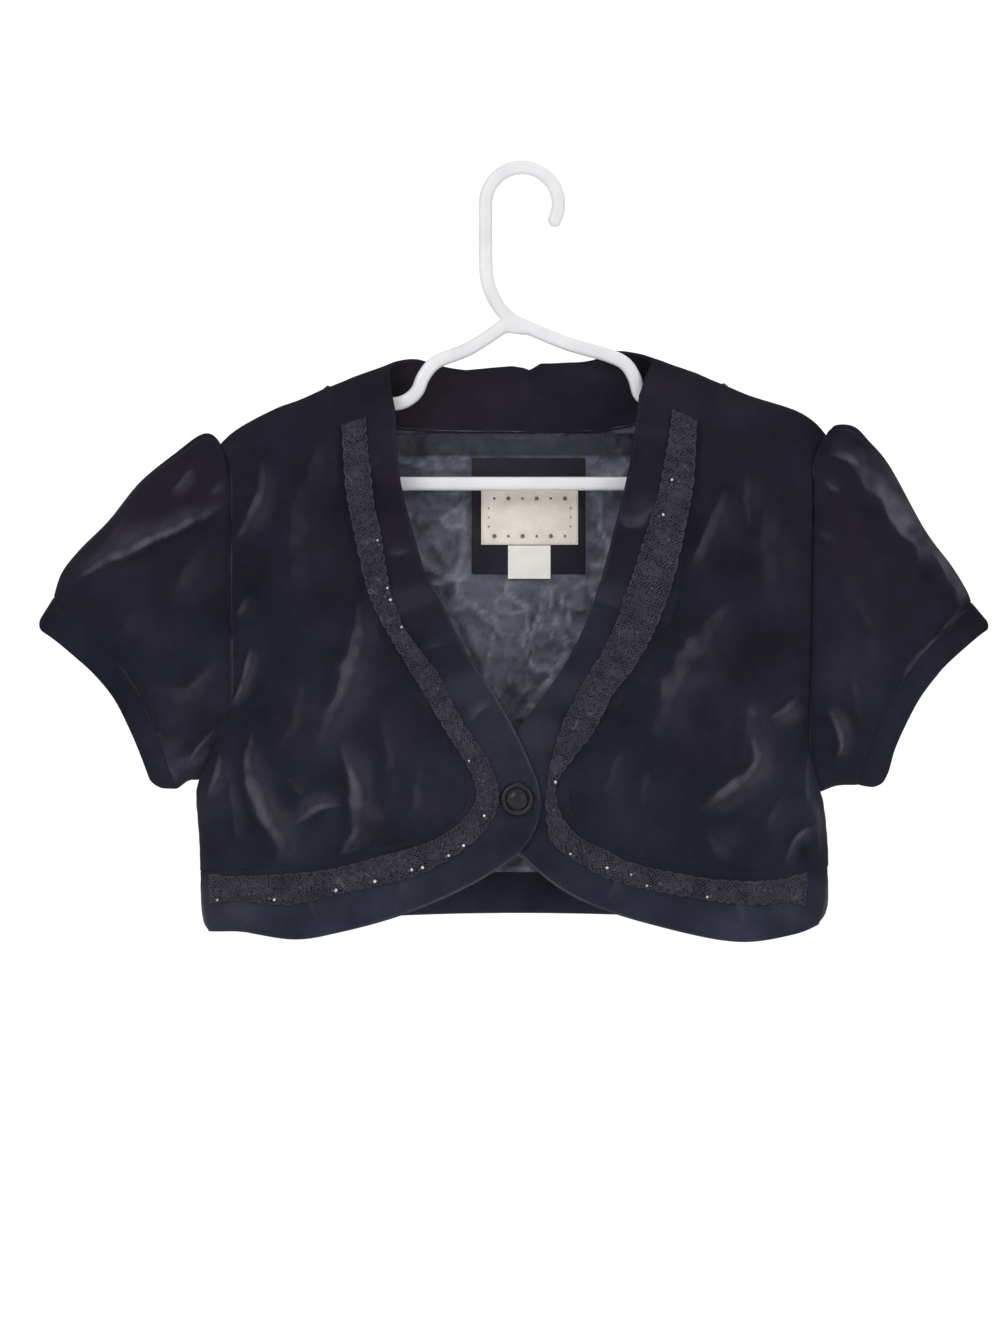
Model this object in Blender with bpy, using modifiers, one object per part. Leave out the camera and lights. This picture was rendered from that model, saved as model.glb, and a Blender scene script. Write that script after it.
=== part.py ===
# Short velvet bolero jacket on a tubular hanger.
# Tables are in millimetres: x to the viewer's right, z up, the front faces -Y.
# The origin is the inner top of the hanger's hook. "right" is the wearer's right, at -X.
import math

import bmesh
import bpy
import numpy as np

MM = 0.001

# Cloth sizes
WALL = 2.0
BAND_WALL = 2.2
LACE_WALL = 1.0
LACE_SCALLOP = 1.3
LINING_WALL = 1.0
LABEL_WALL = 1.0
LINING_INSET = BAND_WALL + 0.5
PATCH_CLEARANCE = 0.5
LACE_CLEARANCE = 0.35
SEAM_GAP = 0.3
SEAM_CHAMFER = 0.6
CUFF_CHAMFER = 1.2
SLEEVE_SEAM_GAP = 0.9

# Half depths of the hanging garment, front to back
CHEST_DEPTH = 26.0
SHOULDER_FALL = 95.0
SIDE_ROUND = 55.0
ARMHOLE_DEPTH = 20.0
ARMHOLE_POWER = 0.85
CUFF_DEPTH = 16.0
SLEEVE_PUFF = 9.0
SEAM_PUFF = 2.5
FRONT_LAP = 1.7
LAP_BLEND = 50.0
LAP_START = 70.0

# Gathers of the sleeve cap
CAP_GATHERS = 13
GATHER_HEIGHT = 1.5
GATHER_REACH = 0.42
SLEEVE_TURNS = 46
SLEEVE_RINGS = 8

# Hanger sizes
TUBE_RADIUS = 4.5
HOOK_INNER_RADIUS = 17.4
HOOK_TIP_DEGREES = -32.0

# Button sizes
BUTTON_RADIUS = 10.0
BUTTON_X = -3.0
BUTTON_Z = -373.8

SIDE_SIGN = {"right": -1.0, "left": 1.0}

# Top fold of the shoulders and the line it would follow across the neck: x, z
RIDGE = (
    (-182, -161), (-169, -151), (-148, -140), (-133, -134.5), (-115, -126.5), (-106, -123.5),
    (-82, -114.5), (-64, -110), (0, -106), (60, -104), (71, -107), (83, -111.5),
    (95, -117), (119, -126.5), (137, -134.5), (161, -141.5), (173, -147), (184, -156),
)

# Armhole seam from the shoulder to the armpit: x, z
ARMHOLE = {
    "right": ((-181, -161), (-178, -168), (-175.5, -177), (-174, -190), (-174, -250),
              (-174, -315), (-180, -330), (-190, -354), (-194.4, -363)),
    "left": ((183.5, -157), (177, -165), (173.5, -174), (174, -190), (172.8, -255),
             (171.6, -330), (173, -350), (179.4, -370)),
}

# Side seam from the armpit to the hem: x, z
SIDE_SEAM = {
    "right": ((-194.4, -363), (-195.6, -374), (-193.6, -402), (-192.8, -432), (-191.4, -448), (-188, -454)),
    "left": ((179.4, -370), (181.4, -379), (183.6, -403), (183.8, -432), (182.4, -443), (178, -450)),
}

# Front bands, a row for each section: seam x, seam z, free edge x, free edge z
FRONT_BAND = {
    "right": (
        (-110.4, -152, -76, -140.5), (-108.6, -190, -73, -180), (-103.2, -220, -67, -207),
        (-94.8, -253.8, -57, -241), (-83, -279, -46.5, -260), (-65, -309, -34, -285),
        (-47.4, -337, -14, -315), (-35, -359, 4, -350), (-32.5, -373, 11.4, -375),
        (-39, -384.5, 5.4, -397), (-51, -393.5, -12, -414), (-66, -398, -42, -431),
        (-82, -401, -74.5, -444), (-111, -408, -107.5, -453), (-140, -413, -135, -457.5),
        (-169, -416.5, -167, -453.5), (-193, -417.6, -188, -454),
    ),
    "left": (
        (108, -150, 70, -133), (105, -190, 63.5, -176), (97.2, -234, 54, -216),
        (89.4, -264, 45, -249), (75, -294, 36, -273), (60, -315, 24, -296),
        (45.6, -337, 10, -316), (34, -353, -3, -333), (28.8, -367, -15, -357),
        (30, -381, -16.5, -383), (39, -393.6, -4, -404), (52, -401.5, 22, -427),
        (68.4, -409, 53, -441.5), (105.6, -414.6, 103, -455), (135, -417, 133.5, -459),
        (163.8, -416, 162, -455), (183.6, -414.5, 178, -450),
    ),
}
CORNER_ROW = 9

# Lace on each band section: distance from the seam, width
LACE = {
    "right": (
        (2, 17), (3.2, 17.4), (3.4, 17.4), (3.3, 14.5), (4, 12), (3.7, 15.4), (3, 13), (4, 14.5),
        (4.5, 15.5), (3.5, 17), (3, 18), (4, 18), (5, 18.5), (6.2, 17), (4.5, 20.5), (2.5, 16.5), (3, 14),
    ),
    "left": (
        (3, 18), (3, 21), (3, 24), (2.7, 22.7), (2.4, 19), (5, 17.8), (3, 19), (4, 12), (8, 7),
        (6.5, 10), (6, 18), (2.5, 17.5), (2.5, 15), (5, 14.5), (5, 15.5), (4, 16), (4, 16),
    ),
}
BAND_ROWS = 36
BAND_COLUMNS = 4
BAND_STEPS = (np.linspace(0, 1, BAND_ROWS + 1), np.linspace(0.012, 1, BAND_COLUMNS + 1))

# Back collar, a row for each section from the right shoulder round the back neck to the left one:
# seam x, seam z, face of the seam (-1 front, 0 fold, 1 back), edge x, edge y, edge z
COLLAR = (
    (-110.4, -152, -1, -76, None, -140.5), (-113.5, -139, -1, -78.5, -10, -126),
    (-114.6, -126.6, 0, -78, 0, -113.5), (-105, -137.5, 1, -66, 9.5, -109.5),
    (-88, -148, 1, -48, 12.5, -113), (-60, -152, 1, -30, 14, -114),
    (-3, -153, 1, 5, 14.5, -114), (40, -152.5, 1, 27, 14, -112),
    (70, -148, 1, 43, 12.5, -110), (97, -138.5, 1, 58, 9.5, -104.5),
    (118.8, -126.6, 0, 77, 0, -109.5), (114.5, -138, -1, 74, -10, -121), (108, -150, -1, 70, None, -133),
)
COLLAR_SEAM_SHARE = 0.02
COLLAR_BACK_FIRST = 2
COLLAR_BACK_LAST = 10

# Back hem band: seam and hem heights at the sides and the middle
SHOULDER_STEPS = 5
NECK_STEPS = 14
HEM_BAND = {
    "seam": ((-193, -417.6), (-110, -412), (-3, -410), (110, -411), (183.6, -414.5)),
    "hem": ((-188, -454), (-130, -449), (-60, -445), (0, -444), (60, -445), (125, -447.5), (178, -450)),
}

# Sleeve rails from the armhole to the cuff seam: x, z
SLEEVE_TOP = {
    "right": ((-181, -161), (-187, -156.6), (-194, -157.8), (-206, -166.5), (-229, -184.5), (-248, -207.5),
              (-265, -224.4), (-276, -238.5), (-280.8, -253.2)),
    "left": ((183.5, -157), (188, -151.6), (199, -152.2), (208, -160.5), (221, -176), (241.8, -213),
             (257.4, -234), (266, -248), (269.4, -256.2)),
}
SLEEVE_BOTTOM = {
    "right": ((-194.4, -363), (-200, -363.5), (-207, -368.4)),
    "left": ((179.4, -370), (189, -366.5), (201.6, -366)),
}
CUFF_SEAM = {
    "right": ((-280.8, -253.2), (-268, -267), (-253, -280.5), (-240, -293.4), (-229, -310), (-221, -328.5),
              (-215, -346), (-207, -368.4)),
    "left": ((269.4, -256.2), (256.8, -268.2), (244.8, -279.6), (232.8, -292.8), (222.6, -309),
             (214.8, -326), (209.5, -342), (201.6, -366)),
}
CUFF_HEM = {
    "right": ((-290.5, -270), (-280, -278.8), (-268, -288.8), (-256, -299.6), (-244.2, -314), (-235, -332),
              (-228, -349), (-221, -365.5)),
    "left": ((280, -269.5), (273.6, -275.6), (256.8, -291), (247.8, -300.6), (236, -317), (224, -342),
             (219.4, -358), (214.6, -368.4)),
}

# Large soft folds: x0, z0, x1, z1, sideways bow, half width, height
FRONT_FOLDS = {
    "right": (
        (-98, -262, -122, -342, 6, 11, 2.6), (-106, -342, -112, -404, -7, 9, 2.4),
        (-160, -342, -146, -408, 5, 9, 1.8), (-172, -292, -158, -242, 4, 9, 1.6),
    ),
    "left": (
        (122, -205, 84, -268, 8, 12, 2.0), (106, -279, 68, -346, 8, 12, 2.6),
        (142, -345, 108, -380, 4, 9, 2.6), (166, -312, 148, -330, 2, 8, 1.8),
    ),
}
BACK_FOLDS = (
    (-150, -215, -96, -300, 9, 13, 2.4), (-60, -250, -84, -385, 8, 12, 2.2),
    (20, -230, 6, -330, -7, 12, 1.8), (96, -236, 60, -330, 9, 13, 2.4),
    (150, -300, 120, -392, 6, 11, 2.2), (-20, -340, 30, -400, 6, 11, 1.8),
)

# Lining creases, pushed into the hollow: same columns as the folds
LINING_FOLDS = (
    (-66, -190, -22, -250, 7, 7, 2.6), (-48, -168, -70, -230, -5, 6, 2.0), (60, -170, 38, -235, 6, 7, 2.4),
    (13, -243, -4, -330, 3, 5, 3.0), (-40, -262, 2, -286, -4, 6, 2.2), (44, -255, 16, -282, 4, 6, 2.0),
    (-30, -395, 24, -404, 4, 6, 2.4), (-90, -300, -40, -370, 6, 9, 2.2), (80, -300, 46, -372, -6, 9, 2.2),
)

# Hanger frame from the top of the arms to the end of the bar: x, z
HANGER_ARM = {
    "right": ((-6, -87.5), (-31, -103.8), (-51, -112), (-59, -120.8), (-63.5, -130.5), (-73, -136.8),
              (-90, -137.5), (-112, -138.2), (-133, -143.7), (-150, -151.2), (-163, -160.3),
              (-168.5, -170), (-166, -181.5), (-156, -185.2)),
    "left": ((-6, -87.5), (26, -100.8), (51, -108), (62, -113.4), (67.5, -121.8), (71.5, -132.6),
             (84, -137.5), (110, -137), (133, -141.9), (150, -148), (163, -156.5), (168.5, -167.5),
             (166, -181.5), (156, -185.2)),
}
HANGER_STEM = ((-21.9, -30), (-21.6, -57), (-19.5, -68), (-14, -79), (-6, -87.5))

# Labels: left x, right x, top z, bottom z
PATCH_BOX = (-30, 38, -169, -239)
LABEL_BOX = (-24.6, 34, -184, -221.4)
TAB_BOX = (-8.4, 17.4, -221.8, -242)
FLAT_MARGIN = 10

# Linear colour and roughness
COLOURS = {
    "velvet": (0.016, 0.016, 0.024, 0.85),
    "lace": (0.035, 0.034, 0.045, 0.8),
    "satin": (0.075, 0.08, 0.105, 0.35),
    "button": (0.01, 0.01, 0.012, 0.3),
    "label": (0.72, 0.67, 0.58, 0.7),
    "hanger": (0.82, 0.82, 0.82, 0.35),
}


# Curves and tables

def smooth_rows(rows, count):
    """Catmull-Rom through the rows of a table, at even steps of length."""
    rows = np.array(rows, dtype=float)
    padded = np.vstack([2 * rows[0] - rows[1], rows, 2 * rows[-1] - rows[-2]])
    dense = []
    for i in range(len(rows) - 1):
        a, b, c, d = padded[i:i + 4]
        for t in np.linspace(0, 1, 16, endpoint=False):
            dense.append(0.5 * (2 * b + (c - a) * t + (2 * a - 5 * b + 4 * c - d) * t * t
                                + (3 * b - a - 3 * c + d) * t ** 3))
    dense.append(rows[-1])
    dense = np.array(dense)
    length = np.concatenate([[0], np.cumsum(np.linalg.norm(np.diff(dense, axis=0), axis=1))])
    where = np.asarray(count) if np.ndim(count) else np.linspace(0, 1, count)
    return np.stack([np.interp(where * length[-1], length, column) for column in dense.T], axis=-1)


def smoothstep(value):
    value = np.clip(value, 0, 1)
    return value * value * (3 - 2 * value)


def round_rise(distance, reach):
    """Quarter ellipse: zero at an edge, one at the given reach."""
    return np.sqrt(1 - (1 - np.clip(distance / reach, 0, 1)) ** 2)


RIDGE_LINE = smooth_rows(RIDGE, 200)
SIDE_LINE = {side: smooth_rows(ARMHOLE[side] + SIDE_SEAM[side][1:], 300) for side in SIDE_SIGN}


def ridge_z(x):
    return np.interp(x, RIDGE_LINE[:, 0], RIDGE_LINE[:, 1])


def side_x(side, z):
    line = SIDE_LINE[side][::-1]
    return np.interp(z, line[:, 1], line[:, 0])


def armhole_depth(side, z):
    top = ARMHOLE[side][0][1]
    bottom = ARMHOLE[side][-1][1]
    t = np.clip((top - z) / (top - bottom), 0, 1)
    return ARMHOLE_DEPTH * (2 * np.sqrt(t * (1 - t))) ** ARMHOLE_POWER


def fold_height(x, z, folds):
    total = np.zeros(np.broadcast(x, z).shape)
    for x0, z0, x1, z1, bow, width, height in folds:
        dx, dz = x1 - x0, z1 - z0
        length = math.hypot(dx, dz)
        along = ((x - x0) * dx + (z - z0) * dz) / length ** 2
        inside = np.clip(along, 0, 1)
        across = ((x - x0) * dz - (z - z0) * dx) / length - bow * 4 * inside * (1 - inside)
        total = total + height * np.exp(-(across / width) ** 2) * np.sin(np.pi * inside) ** 0.7
    return total


def body_depth(x, z):
    """Half depth of the body at a point of the front view."""
    top = round_rise(ridge_z(x) - z, SHOULDER_FALL)
    nearest = np.where(np.asarray(x) < 0, x - side_x("right", z), side_x("left", z) - x)
    edge = np.where(np.asarray(x) < 0, armhole_depth("right", z), armhole_depth("left", z))
    weight = round_rise(nearest, SIDE_ROUND)
    return edge * (1 - weight) + CHEST_DEPTH * top * weight


def front_y(side, x, z):
    sign = SIDE_SIGN[side]
    lap = -sign * FRONT_LAP * smoothstep((LAP_START - sign * x) / LAP_BLEND)
    inner = smoothstep((np.where(sign < 0, x - side_x(side, z), side_x(side, z) - x)) / 12)
    return -(body_depth(x, z) + inner * (lap + fold_height(x, z, FRONT_FOLDS[side])))


def back_y(x, z):
    inner = round_rise(np.minimum(x - side_x("right", z), side_x("left", z) - x), 20)
    return body_depth(x, z) + inner * fold_height(x, z, BACK_FOLDS) * smoothstep((ridge_z(x) - z) / 40)


def lifted(x, z, height):
    return np.stack([x, height, z], axis=-1)


# Walls

def unit(vectors):
    return vectors / np.maximum(np.linalg.norm(vectors, axis=-1, keepdims=True), 1e-9)


def height_normals(points, height, outward):
    """Normals of y = height(x, z); at a fold they point along the fold's own outside."""
    step = 0.02
    x, z = points[..., 0], points[..., 2]
    slope_x = (height(x + step, z) - height(x - step, z)) / (2 * step)
    slope_z = (height(x, z + step) - height(x, z - step)) / (2 * step)
    return unit(np.stack([-slope_x, np.ones_like(x), -slope_z], axis=-1)) * outward


def grid_normals(points, wrap):
    """Normals of a grid from its own neighbours, pointing along columns x rows."""
    rows = np.gradient(points, axis=0)
    if wrap:
        columns = np.roll(points, -1, axis=1) - np.roll(points, 1, axis=1)
    else:
        columns = np.gradient(points, axis=1)
    return unit(np.cross(columns, rows))


def pull_in(points, amount, wrap):
    """Move the open edges of a grid along the grid by a length."""
    points = points.copy()
    for first, second in ((0, 1), (-1, -2)):
        step = points[second] - points[first]
        size = np.linalg.norm(step, axis=-1, keepdims=True)
        points[first] += unit(step) * np.minimum(amount, 0.6 * size)
    if not wrap:
        for first, second in ((0, 1), (-1, -2)):
            step = points[:, second] - points[:, first]
            size = np.linalg.norm(step, axis=-1, keepdims=True)
            points[:, first] += unit(step) * np.minimum(amount, 0.6 * size)
    return points


def wall(name, points, normals, thickness, colour, wrap=False, lift=0.0, chamfer=SEAM_CHAMFER):
    """Closed wall of cloth: the given outer grid, an inner grid and the rims between them."""
    outer = pull_in(points + normals * lift, SEAM_GAP / 2, wrap)
    inner = pull_in(points + normals * (lift - thickness), SEAM_GAP / 2 + chamfer, wrap)
    rows, columns = outer.shape[:2]
    vertices = np.concatenate([outer.reshape(-1, 3), inner.reshape(-1, 3)]) * MM
    count = rows * columns
    last = columns if wrap else columns - 1
    faces = []
    for i in range(rows - 1):
        for j in range(last):
            k = (j + 1) % columns
            a, b = i * columns + j, i * columns + k
            c, d = (i + 1) * columns + k, (i + 1) * columns + j
            faces.append((a, b, c, d))
            faces.append((d + count, c + count, b + count, a + count))
    for j in range(last):
        k = (j + 1) % columns
        faces.append((k, j, j + count, k + count))
        end = (rows - 1) * columns
        faces.append((end + j, end + k, end + k + count, end + j + count))
    if not wrap:
        for i in range(rows - 1):
            a, b = i * columns, (i + 1) * columns
            faces.append((a, b, b + count, a + count))
            c, d = a + columns - 1, b + columns - 1
            faces.append((d, c, c + count, d + count))
    mesh = bpy.data.meshes.new(name)
    mesh.from_pydata(vertices.tolist(), [], faces)
    mesh.update()
    return add_part(name, mesh, colour)


def add_part(name, mesh, colour):
    work = bmesh.new()
    work.from_mesh(mesh)
    if work.calc_volume(signed=True) < 0:
        bmesh.ops.reverse_faces(work, faces=work.faces)
    work.to_mesh(mesh)
    work.free()
    mesh.shade_smooth()
    part = bpy.data.objects.new(name, mesh)
    mesh.materials.append(material(name, colour))
    PARTS.objects.link(part)
    return part


def material(name, colour):
    red, green, blue, roughness = COLOURS[colour]
    made = bpy.data.materials.new(name + "_" + colour)
    made.use_nodes = True
    shader = made.node_tree.nodes["Principled BSDF"]
    shader.inputs["Base Color"].default_value = (red, green, blue, 1)
    shader.inputs["Roughness"].default_value = roughness
    shader.inputs["Metallic"].default_value = 0
    return made


# Patches of the front view

def coons(top, bottom, first, last, across, down):
    """Patch between four curves of the front view; across and down are the grid's steps."""
    u, v = across[None, :, None], down[:, None, None]
    t, b = smooth_rows(top, across)[None], smooth_rows(bottom, across)[None]
    f, s = smooth_rows(first, down)[:, None], smooth_rows(last, down)[:, None]
    corners = (1 - u) * (1 - v) * f[0] + u * (1 - v) * s[0] + (1 - u) * v * f[-1] + u * v * s[-1]
    return (1 - v) * t + v * b + (1 - u) * f + u * s - corners


def shoulder_fold():
    """Points that the back panel's top edge and both front panels share along the fold."""
    first, last = COLLAR[COLLAR_BACK_FIRST], COLLAR[COLLAR_BACK_LAST]
    ends = {"right": (ARMHOLE["right"][0][0], first[0]), "left": (ARMHOLE["left"][0][0], last[0])}
    fold = {}
    for side, (outer, neck) in ends.items():
        x = outer + (neck - outer) * np.linspace(0, 1, SHOULDER_STEPS + 1)
        z = ridge_z(x)
        z[0] = ARMHOLE[side][0][1]
        fold[side] = np.stack([x, z], axis=-1)
    return fold


def front_panel(side):
    """From the shoulder fold to the band seam; columns run from the side to the middle."""
    fold = shoulder_fold()[side]
    band = [row[:2] for row in FRONT_BAND[side]]
    over = COLLAR[COLLAR_BACK_FIRST - 1] if side == "right" else COLLAR[COLLAR_BACK_LAST + 1]
    hem = band[CORNER_ROW:][::-1]
    hem[0] = (float(side_x(side, hem[0][1])), hem[0][1])
    edge = [tuple(fold[-1]), over[:2]] + band[:CORNER_ROW + 1]
    outer = [tuple(p) for p in SIDE_LINE[side][::12] if p[1] > hem[0][1] + 4] + [hem[0]]
    across = np.linspace(0, 1, 15) ** 1.35
    down = np.linspace(0, 1, 15) ** 1.3
    plan = coons(fold, hem, outer, edge, across, down)
    x, z = plan[..., 0].copy(), plan[..., 1].copy()
    x[:, 0] = side_x(side, z[:, 0])
    order = slice(None) if side == "right" else slice(None, None, -1)
    z[0] = np.interp(x[0], fold[order, 0], fold[order, 1])
    points = lifted(x, z, front_y(side, x, z))
    points[0, :, 1] = 0
    normals = height_normals(points, lambda a, b: front_y(side, a, b), -1)
    normals[0, :, 1] = 0
    wall(side + "_front", points, unit(normals), WALL, "velvet")


def back_panel():
    """From the shoulder folds and the neck seam down to the hem band."""
    fold = shoulder_fold()
    neck = smooth_rows([row[:2] for row in COLLAR[COLLAR_BACK_FIRST:COLLAR_BACK_LAST + 1]], NECK_STEPS + 1)
    top = np.concatenate([fold["right"][:-1], neck, fold["left"][-2::-1]])
    outer = {}
    for side in SIDE_SIGN:
        seam_z = HEM_BAND["seam"][0 if side == "right" else -1][1]
        line = [tuple(p) for p in SIDE_LINE[side][::12] if p[1] > seam_z + 4]
        outer[side] = line + [(float(side_x(side, seam_z)), seam_z)]
    hem = [outer["right"][-1]] + list(HEM_BAND["seam"][1:-1]) + [outer["left"][-1]]
    across = np.concatenate([[0], np.cumsum(np.linalg.norm(np.diff(top, axis=0), axis=1))])
    across = across / across[-1]
    down = np.linspace(0, 1, 15) ** 1.3
    plan = coons(top, hem, outer["right"], outer["left"], across, down)
    x, z = plan[..., 0].copy(), plan[..., 1].copy()
    x[:, 0] = side_x("right", z[:, 0])
    x[:, -1] = side_x("left", z[:, -1])
    x[0], z[0] = top[:, 0], top[:, 1]
    points = lifted(x, z, back_y(x, z))
    points[0, :SHOULDER_STEPS + 1, 1] = 0
    points[0, -SHOULDER_STEPS - 1:, 1] = 0
    normals = height_normals(points, back_y, 1)
    normals[0, :SHOULDER_STEPS + 1, 1] = 0
    normals[0, -SHOULDER_STEPS - 1:, 1] = 0
    wall("back", points, unit(normals), WALL, "velvet")


def back_hem_band():
    steps = np.linspace(-1, 1, 25)
    across = 0.5 + 0.5 * np.sign(steps) * (1 - (1 - np.abs(steps)) ** 1.25)
    seam = smooth_rows(HEM_BAND["seam"], across)
    hem = smooth_rows(HEM_BAND["hem"], across)
    down = np.linspace(0, 1, 4)[:, None, None]
    plan = seam[None] * (1 - down) + hem[None] * down
    x, z = plan[..., 0].copy(), plan[..., 1]
    x[:, 0] = side_x("right", z[:, 0])
    x[:, -1] = side_x("left", z[:, -1])
    points = lifted(x, z, back_y(x, z))
    wall("back_hem_band", points, height_normals(points, back_y, 1), BAND_WALL, "velvet")


def band_grid(side, along, across):
    """Front band: rows run from the shoulder to the side seam, columns from the seam to the free edge."""
    rows = smooth_rows(FRONT_BAND[side], along)[:, None]
    share = np.asarray(across)[None, :]
    x = rows[..., 0] * (1 - share) + rows[..., 2] * share
    z = rows[..., 1] * (1 - share) + rows[..., 3] * share
    x[-1] = side_x(side, z[-1])
    points = lifted(x, z, front_y(side, x, z))
    return points, height_normals(points, lambda a, b: front_y(side, a, b), -1)


def front_band(side):
    points, normals = band_grid(side, *BAND_STEPS)
    wall(side + "_band", points, normals, BAND_WALL, "velvet")


def lace_edges(side, along):
    """Distance of the lace from the seam and its width, at shares of the band's length."""
    sections = np.linalg.norm(np.diff(np.array(FRONT_BAND[side]), axis=0), axis=1)
    where = np.concatenate([[0], np.cumsum(sections)]) / sections.sum()
    start, width = np.array(LACE[side], dtype=float).T
    return np.interp(along, where, start), np.interp(along, where, width)


def lace(side):
    """Lace laid on the seam side of the band, with a scalloped edge on each side."""
    points, normals = band_grid(side, *BAND_STEPS)
    row = np.linspace(0, BAND_ROWS, 2 * BAND_ROWS + 1)
    low = np.minimum(row.astype(int), BAND_ROWS - 1)
    part = (row - low)[:, None, None]
    width = np.linalg.norm(points[:, -1] - points[:, 0], axis=-1)
    width = np.interp(row, np.arange(BAND_ROWS + 1), width)
    wave = LACE_SCALLOP * (np.arange(len(row)) % 2)
    start, lace_width = lace_edges(side, row / BAND_ROWS)
    first = (start + wave) / width * BAND_COLUMNS
    last = (start + lace_width - wave) / width * BAND_COLUMNS
    column = first[:, None] + (last - first)[:, None] * np.linspace(0, 1, 3)
    near = np.minimum(column.astype(int), BAND_COLUMNS - 1)
    share = (column - near)[..., None]
    low = low[:, None]

    def sample(grid):
        start = grid[low, near] * (1 - share) + grid[low, near + 1] * share
        end = grid[low + 1, near] * (1 - share) + grid[low + 1, near + 1] * share
        return start * (1 - part) + end * part

    wall(side + "_lace", sample(points), unit(sample(normals)), LACE_WALL, "lace",
         lift=LACE_CLEARANCE + LACE_WALL, chamfer=0.0)


def collar():
    """Band carried over the shoulders and round the back neck, standing up behind the hanger."""
    rows = []
    for seam_x, seam_z, face, edge_x, edge_y, edge_z in COLLAR:
        side = "right" if seam_x < 0 else "left"
        if face < 0:
            seam_y = float(front_y(side, seam_x, seam_z))
        elif face > 0:
            seam_y = float(back_y(seam_x, seam_z))
        else:
            seam_y = 0.0
        if edge_y is None:
            edge_y = float(front_y(side, edge_x, edge_z))
        rows.append((seam_x, seam_y, seam_z, edge_x, edge_y, edge_z))
    table = smooth_rows(rows, 33)[:, None]
    share = np.linspace(COLLAR_SEAM_SHARE, 1, 5)[None, :, None]
    points = table[..., :3] * (1 - share) + table[..., 3:] * share
    normals = grid_normals(points, False)
    wall("back_collar", points, normals, BAND_WALL, "velvet")


# Sleeves

def sleeve_grid(side, start, end, depths, top, bottom, rings, turns, gathers):
    """Tube between two seams of the front view; angles run from the top, round the front."""
    along = rings[:, None]
    angle = turns[None, :]
    t = (1 - np.cos(angle)) / 2
    first_seam, last_seam = smooth_rows(start, t[0]), smooth_rows(end, t[0])
    rail_top, rail_bottom = smooth_rows(top, rings), smooth_rows(bottom, rings)
    u, v = along[..., None], t[..., None]
    corners = ((1 - u) * (1 - v) * rail_top[0] + (1 - u) * v * rail_bottom[0]
               + u * (1 - v) * rail_top[-1] + u * v * rail_bottom[-1])
    across = (1 - u) * first_seam[None] + u * last_seam[None]
    plan = across + (1 - v) * rail_top[:, None] + v * rail_bottom[:, None] - corners
    sine = np.sin(angle)
    shape = np.sign(sine) * np.abs(sine) ** ARMHOLE_POWER
    swell = SLEEVE_PUFF * 4 * along * (1 - along) + SEAM_PUFF * (1 - np.exp(-along / 0.08)) * (1 - along)
    depth = (depths[0] * (1 - along) + depths[1] * along + gathers * swell) * shape
    window = smoothstep(1.25 - np.minimum(angle, 2 * math.pi - angle) / 1.35)
    fade = np.exp(-((along - 0.1) / GATHER_REACH) ** 2) * (1 - np.exp(-along / 0.03))
    ripple = gathers * GATHER_HEIGHT * window * fade * np.cos(CAP_GATHERS * angle * 1.6)
    up = unit(rail_top - rail_bottom)[:, None]
    plan = plan + up * (ripple * np.cos(angle))[..., None]
    return lifted(plan[..., 0], plan[..., 1], -depth - ripple * sine)


def turns_of(count):
    """Angles round a sleeve, closer together over the cap and under the arm."""
    even = np.arange(count) / count * 2 * math.pi
    return even - 0.22 * np.sin(even) - 0.1 * np.sin(2 * even)


def sleeve(side):
    turns = turns_of(SLEEVE_TURNS)
    rings = np.linspace(0, 1, SLEEVE_RINGS) ** 1.25
    points = sleeve_grid(side, ARMHOLE[side], CUFF_SEAM[side], (ARMHOLE_DEPTH, CUFF_DEPTH),
                         SLEEVE_TOP[side], SLEEVE_BOTTOM[side], rings, turns, 1.0)
    normals = grid_normals(points, True) * SIDE_SIGN[side]
    points[0] += unit(points[1] - points[0]) * SLEEVE_SEAM_GAP
    wall(side + "_sleeve", points, normals, WALL, "velvet", wrap=True)


def cuff(side):
    turns = turns_of(SLEEVE_TURNS)
    top = (CUFF_SEAM[side][0], CUFF_HEM[side][0])
    bottom = (CUFF_SEAM[side][-1], CUFF_HEM[side][-1])
    points = sleeve_grid(side, CUFF_SEAM[side], CUFF_HEM[side], (CUFF_DEPTH, CUFF_DEPTH - 1.5),
                         top, bottom, np.linspace(0, 1, 3), turns, 0.0)
    normals = grid_normals(points, True) * SIDE_SIGN[side]
    wall(side + "_cuff", points, normals, BAND_WALL, "velvet", wrap=True, chamfer=CUFF_CHAMFER)


# Lining and labels

def lining_y(x, z):
    """Depth of the lining, smooth under the patch and the labels."""
    beside = (x > PATCH_BOX[0] - FLAT_MARGIN) & (x < PATCH_BOX[1] + FLAT_MARGIN)
    level = (z < PATCH_BOX[2] + FLAT_MARGIN) & (z > TAB_BOX[3] - FLAT_MARGIN)
    creases = fold_height(x, z, LINING_FOLDS) * np.where(beside & level, 0, 1)
    return body_depth(x, z) - LINING_INSET - creases


def lining():
    """Back lining, from below the collar to the top of the hem facing."""
    across = np.linspace(0, 1, 21)
    down = np.linspace(0, 1, 15)
    top = ((-150, -162), (-108, -161), (-80, -155), (-3, -154.2), (80, -155), (104, -159), (150, -160))
    bottom = ((-168, -412), (-90, -417), (-3, -419), (90, -417), (160, -411))
    first = ((-150, -162), (-150, -300), (-160, -350), (-168, -412))
    last = ((150, -160), (150, -300), (154, -350), (160, -411))
    plan = coons(top, bottom, first, last, across, down)
    x, z = plan[..., 0], plan[..., 1]
    points = lifted(x, z, lining_y(x, z))
    wall("back_lining", points, height_normals(points, lining_y, 1), LINING_WALL, "satin", chamfer=0.0)


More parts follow.
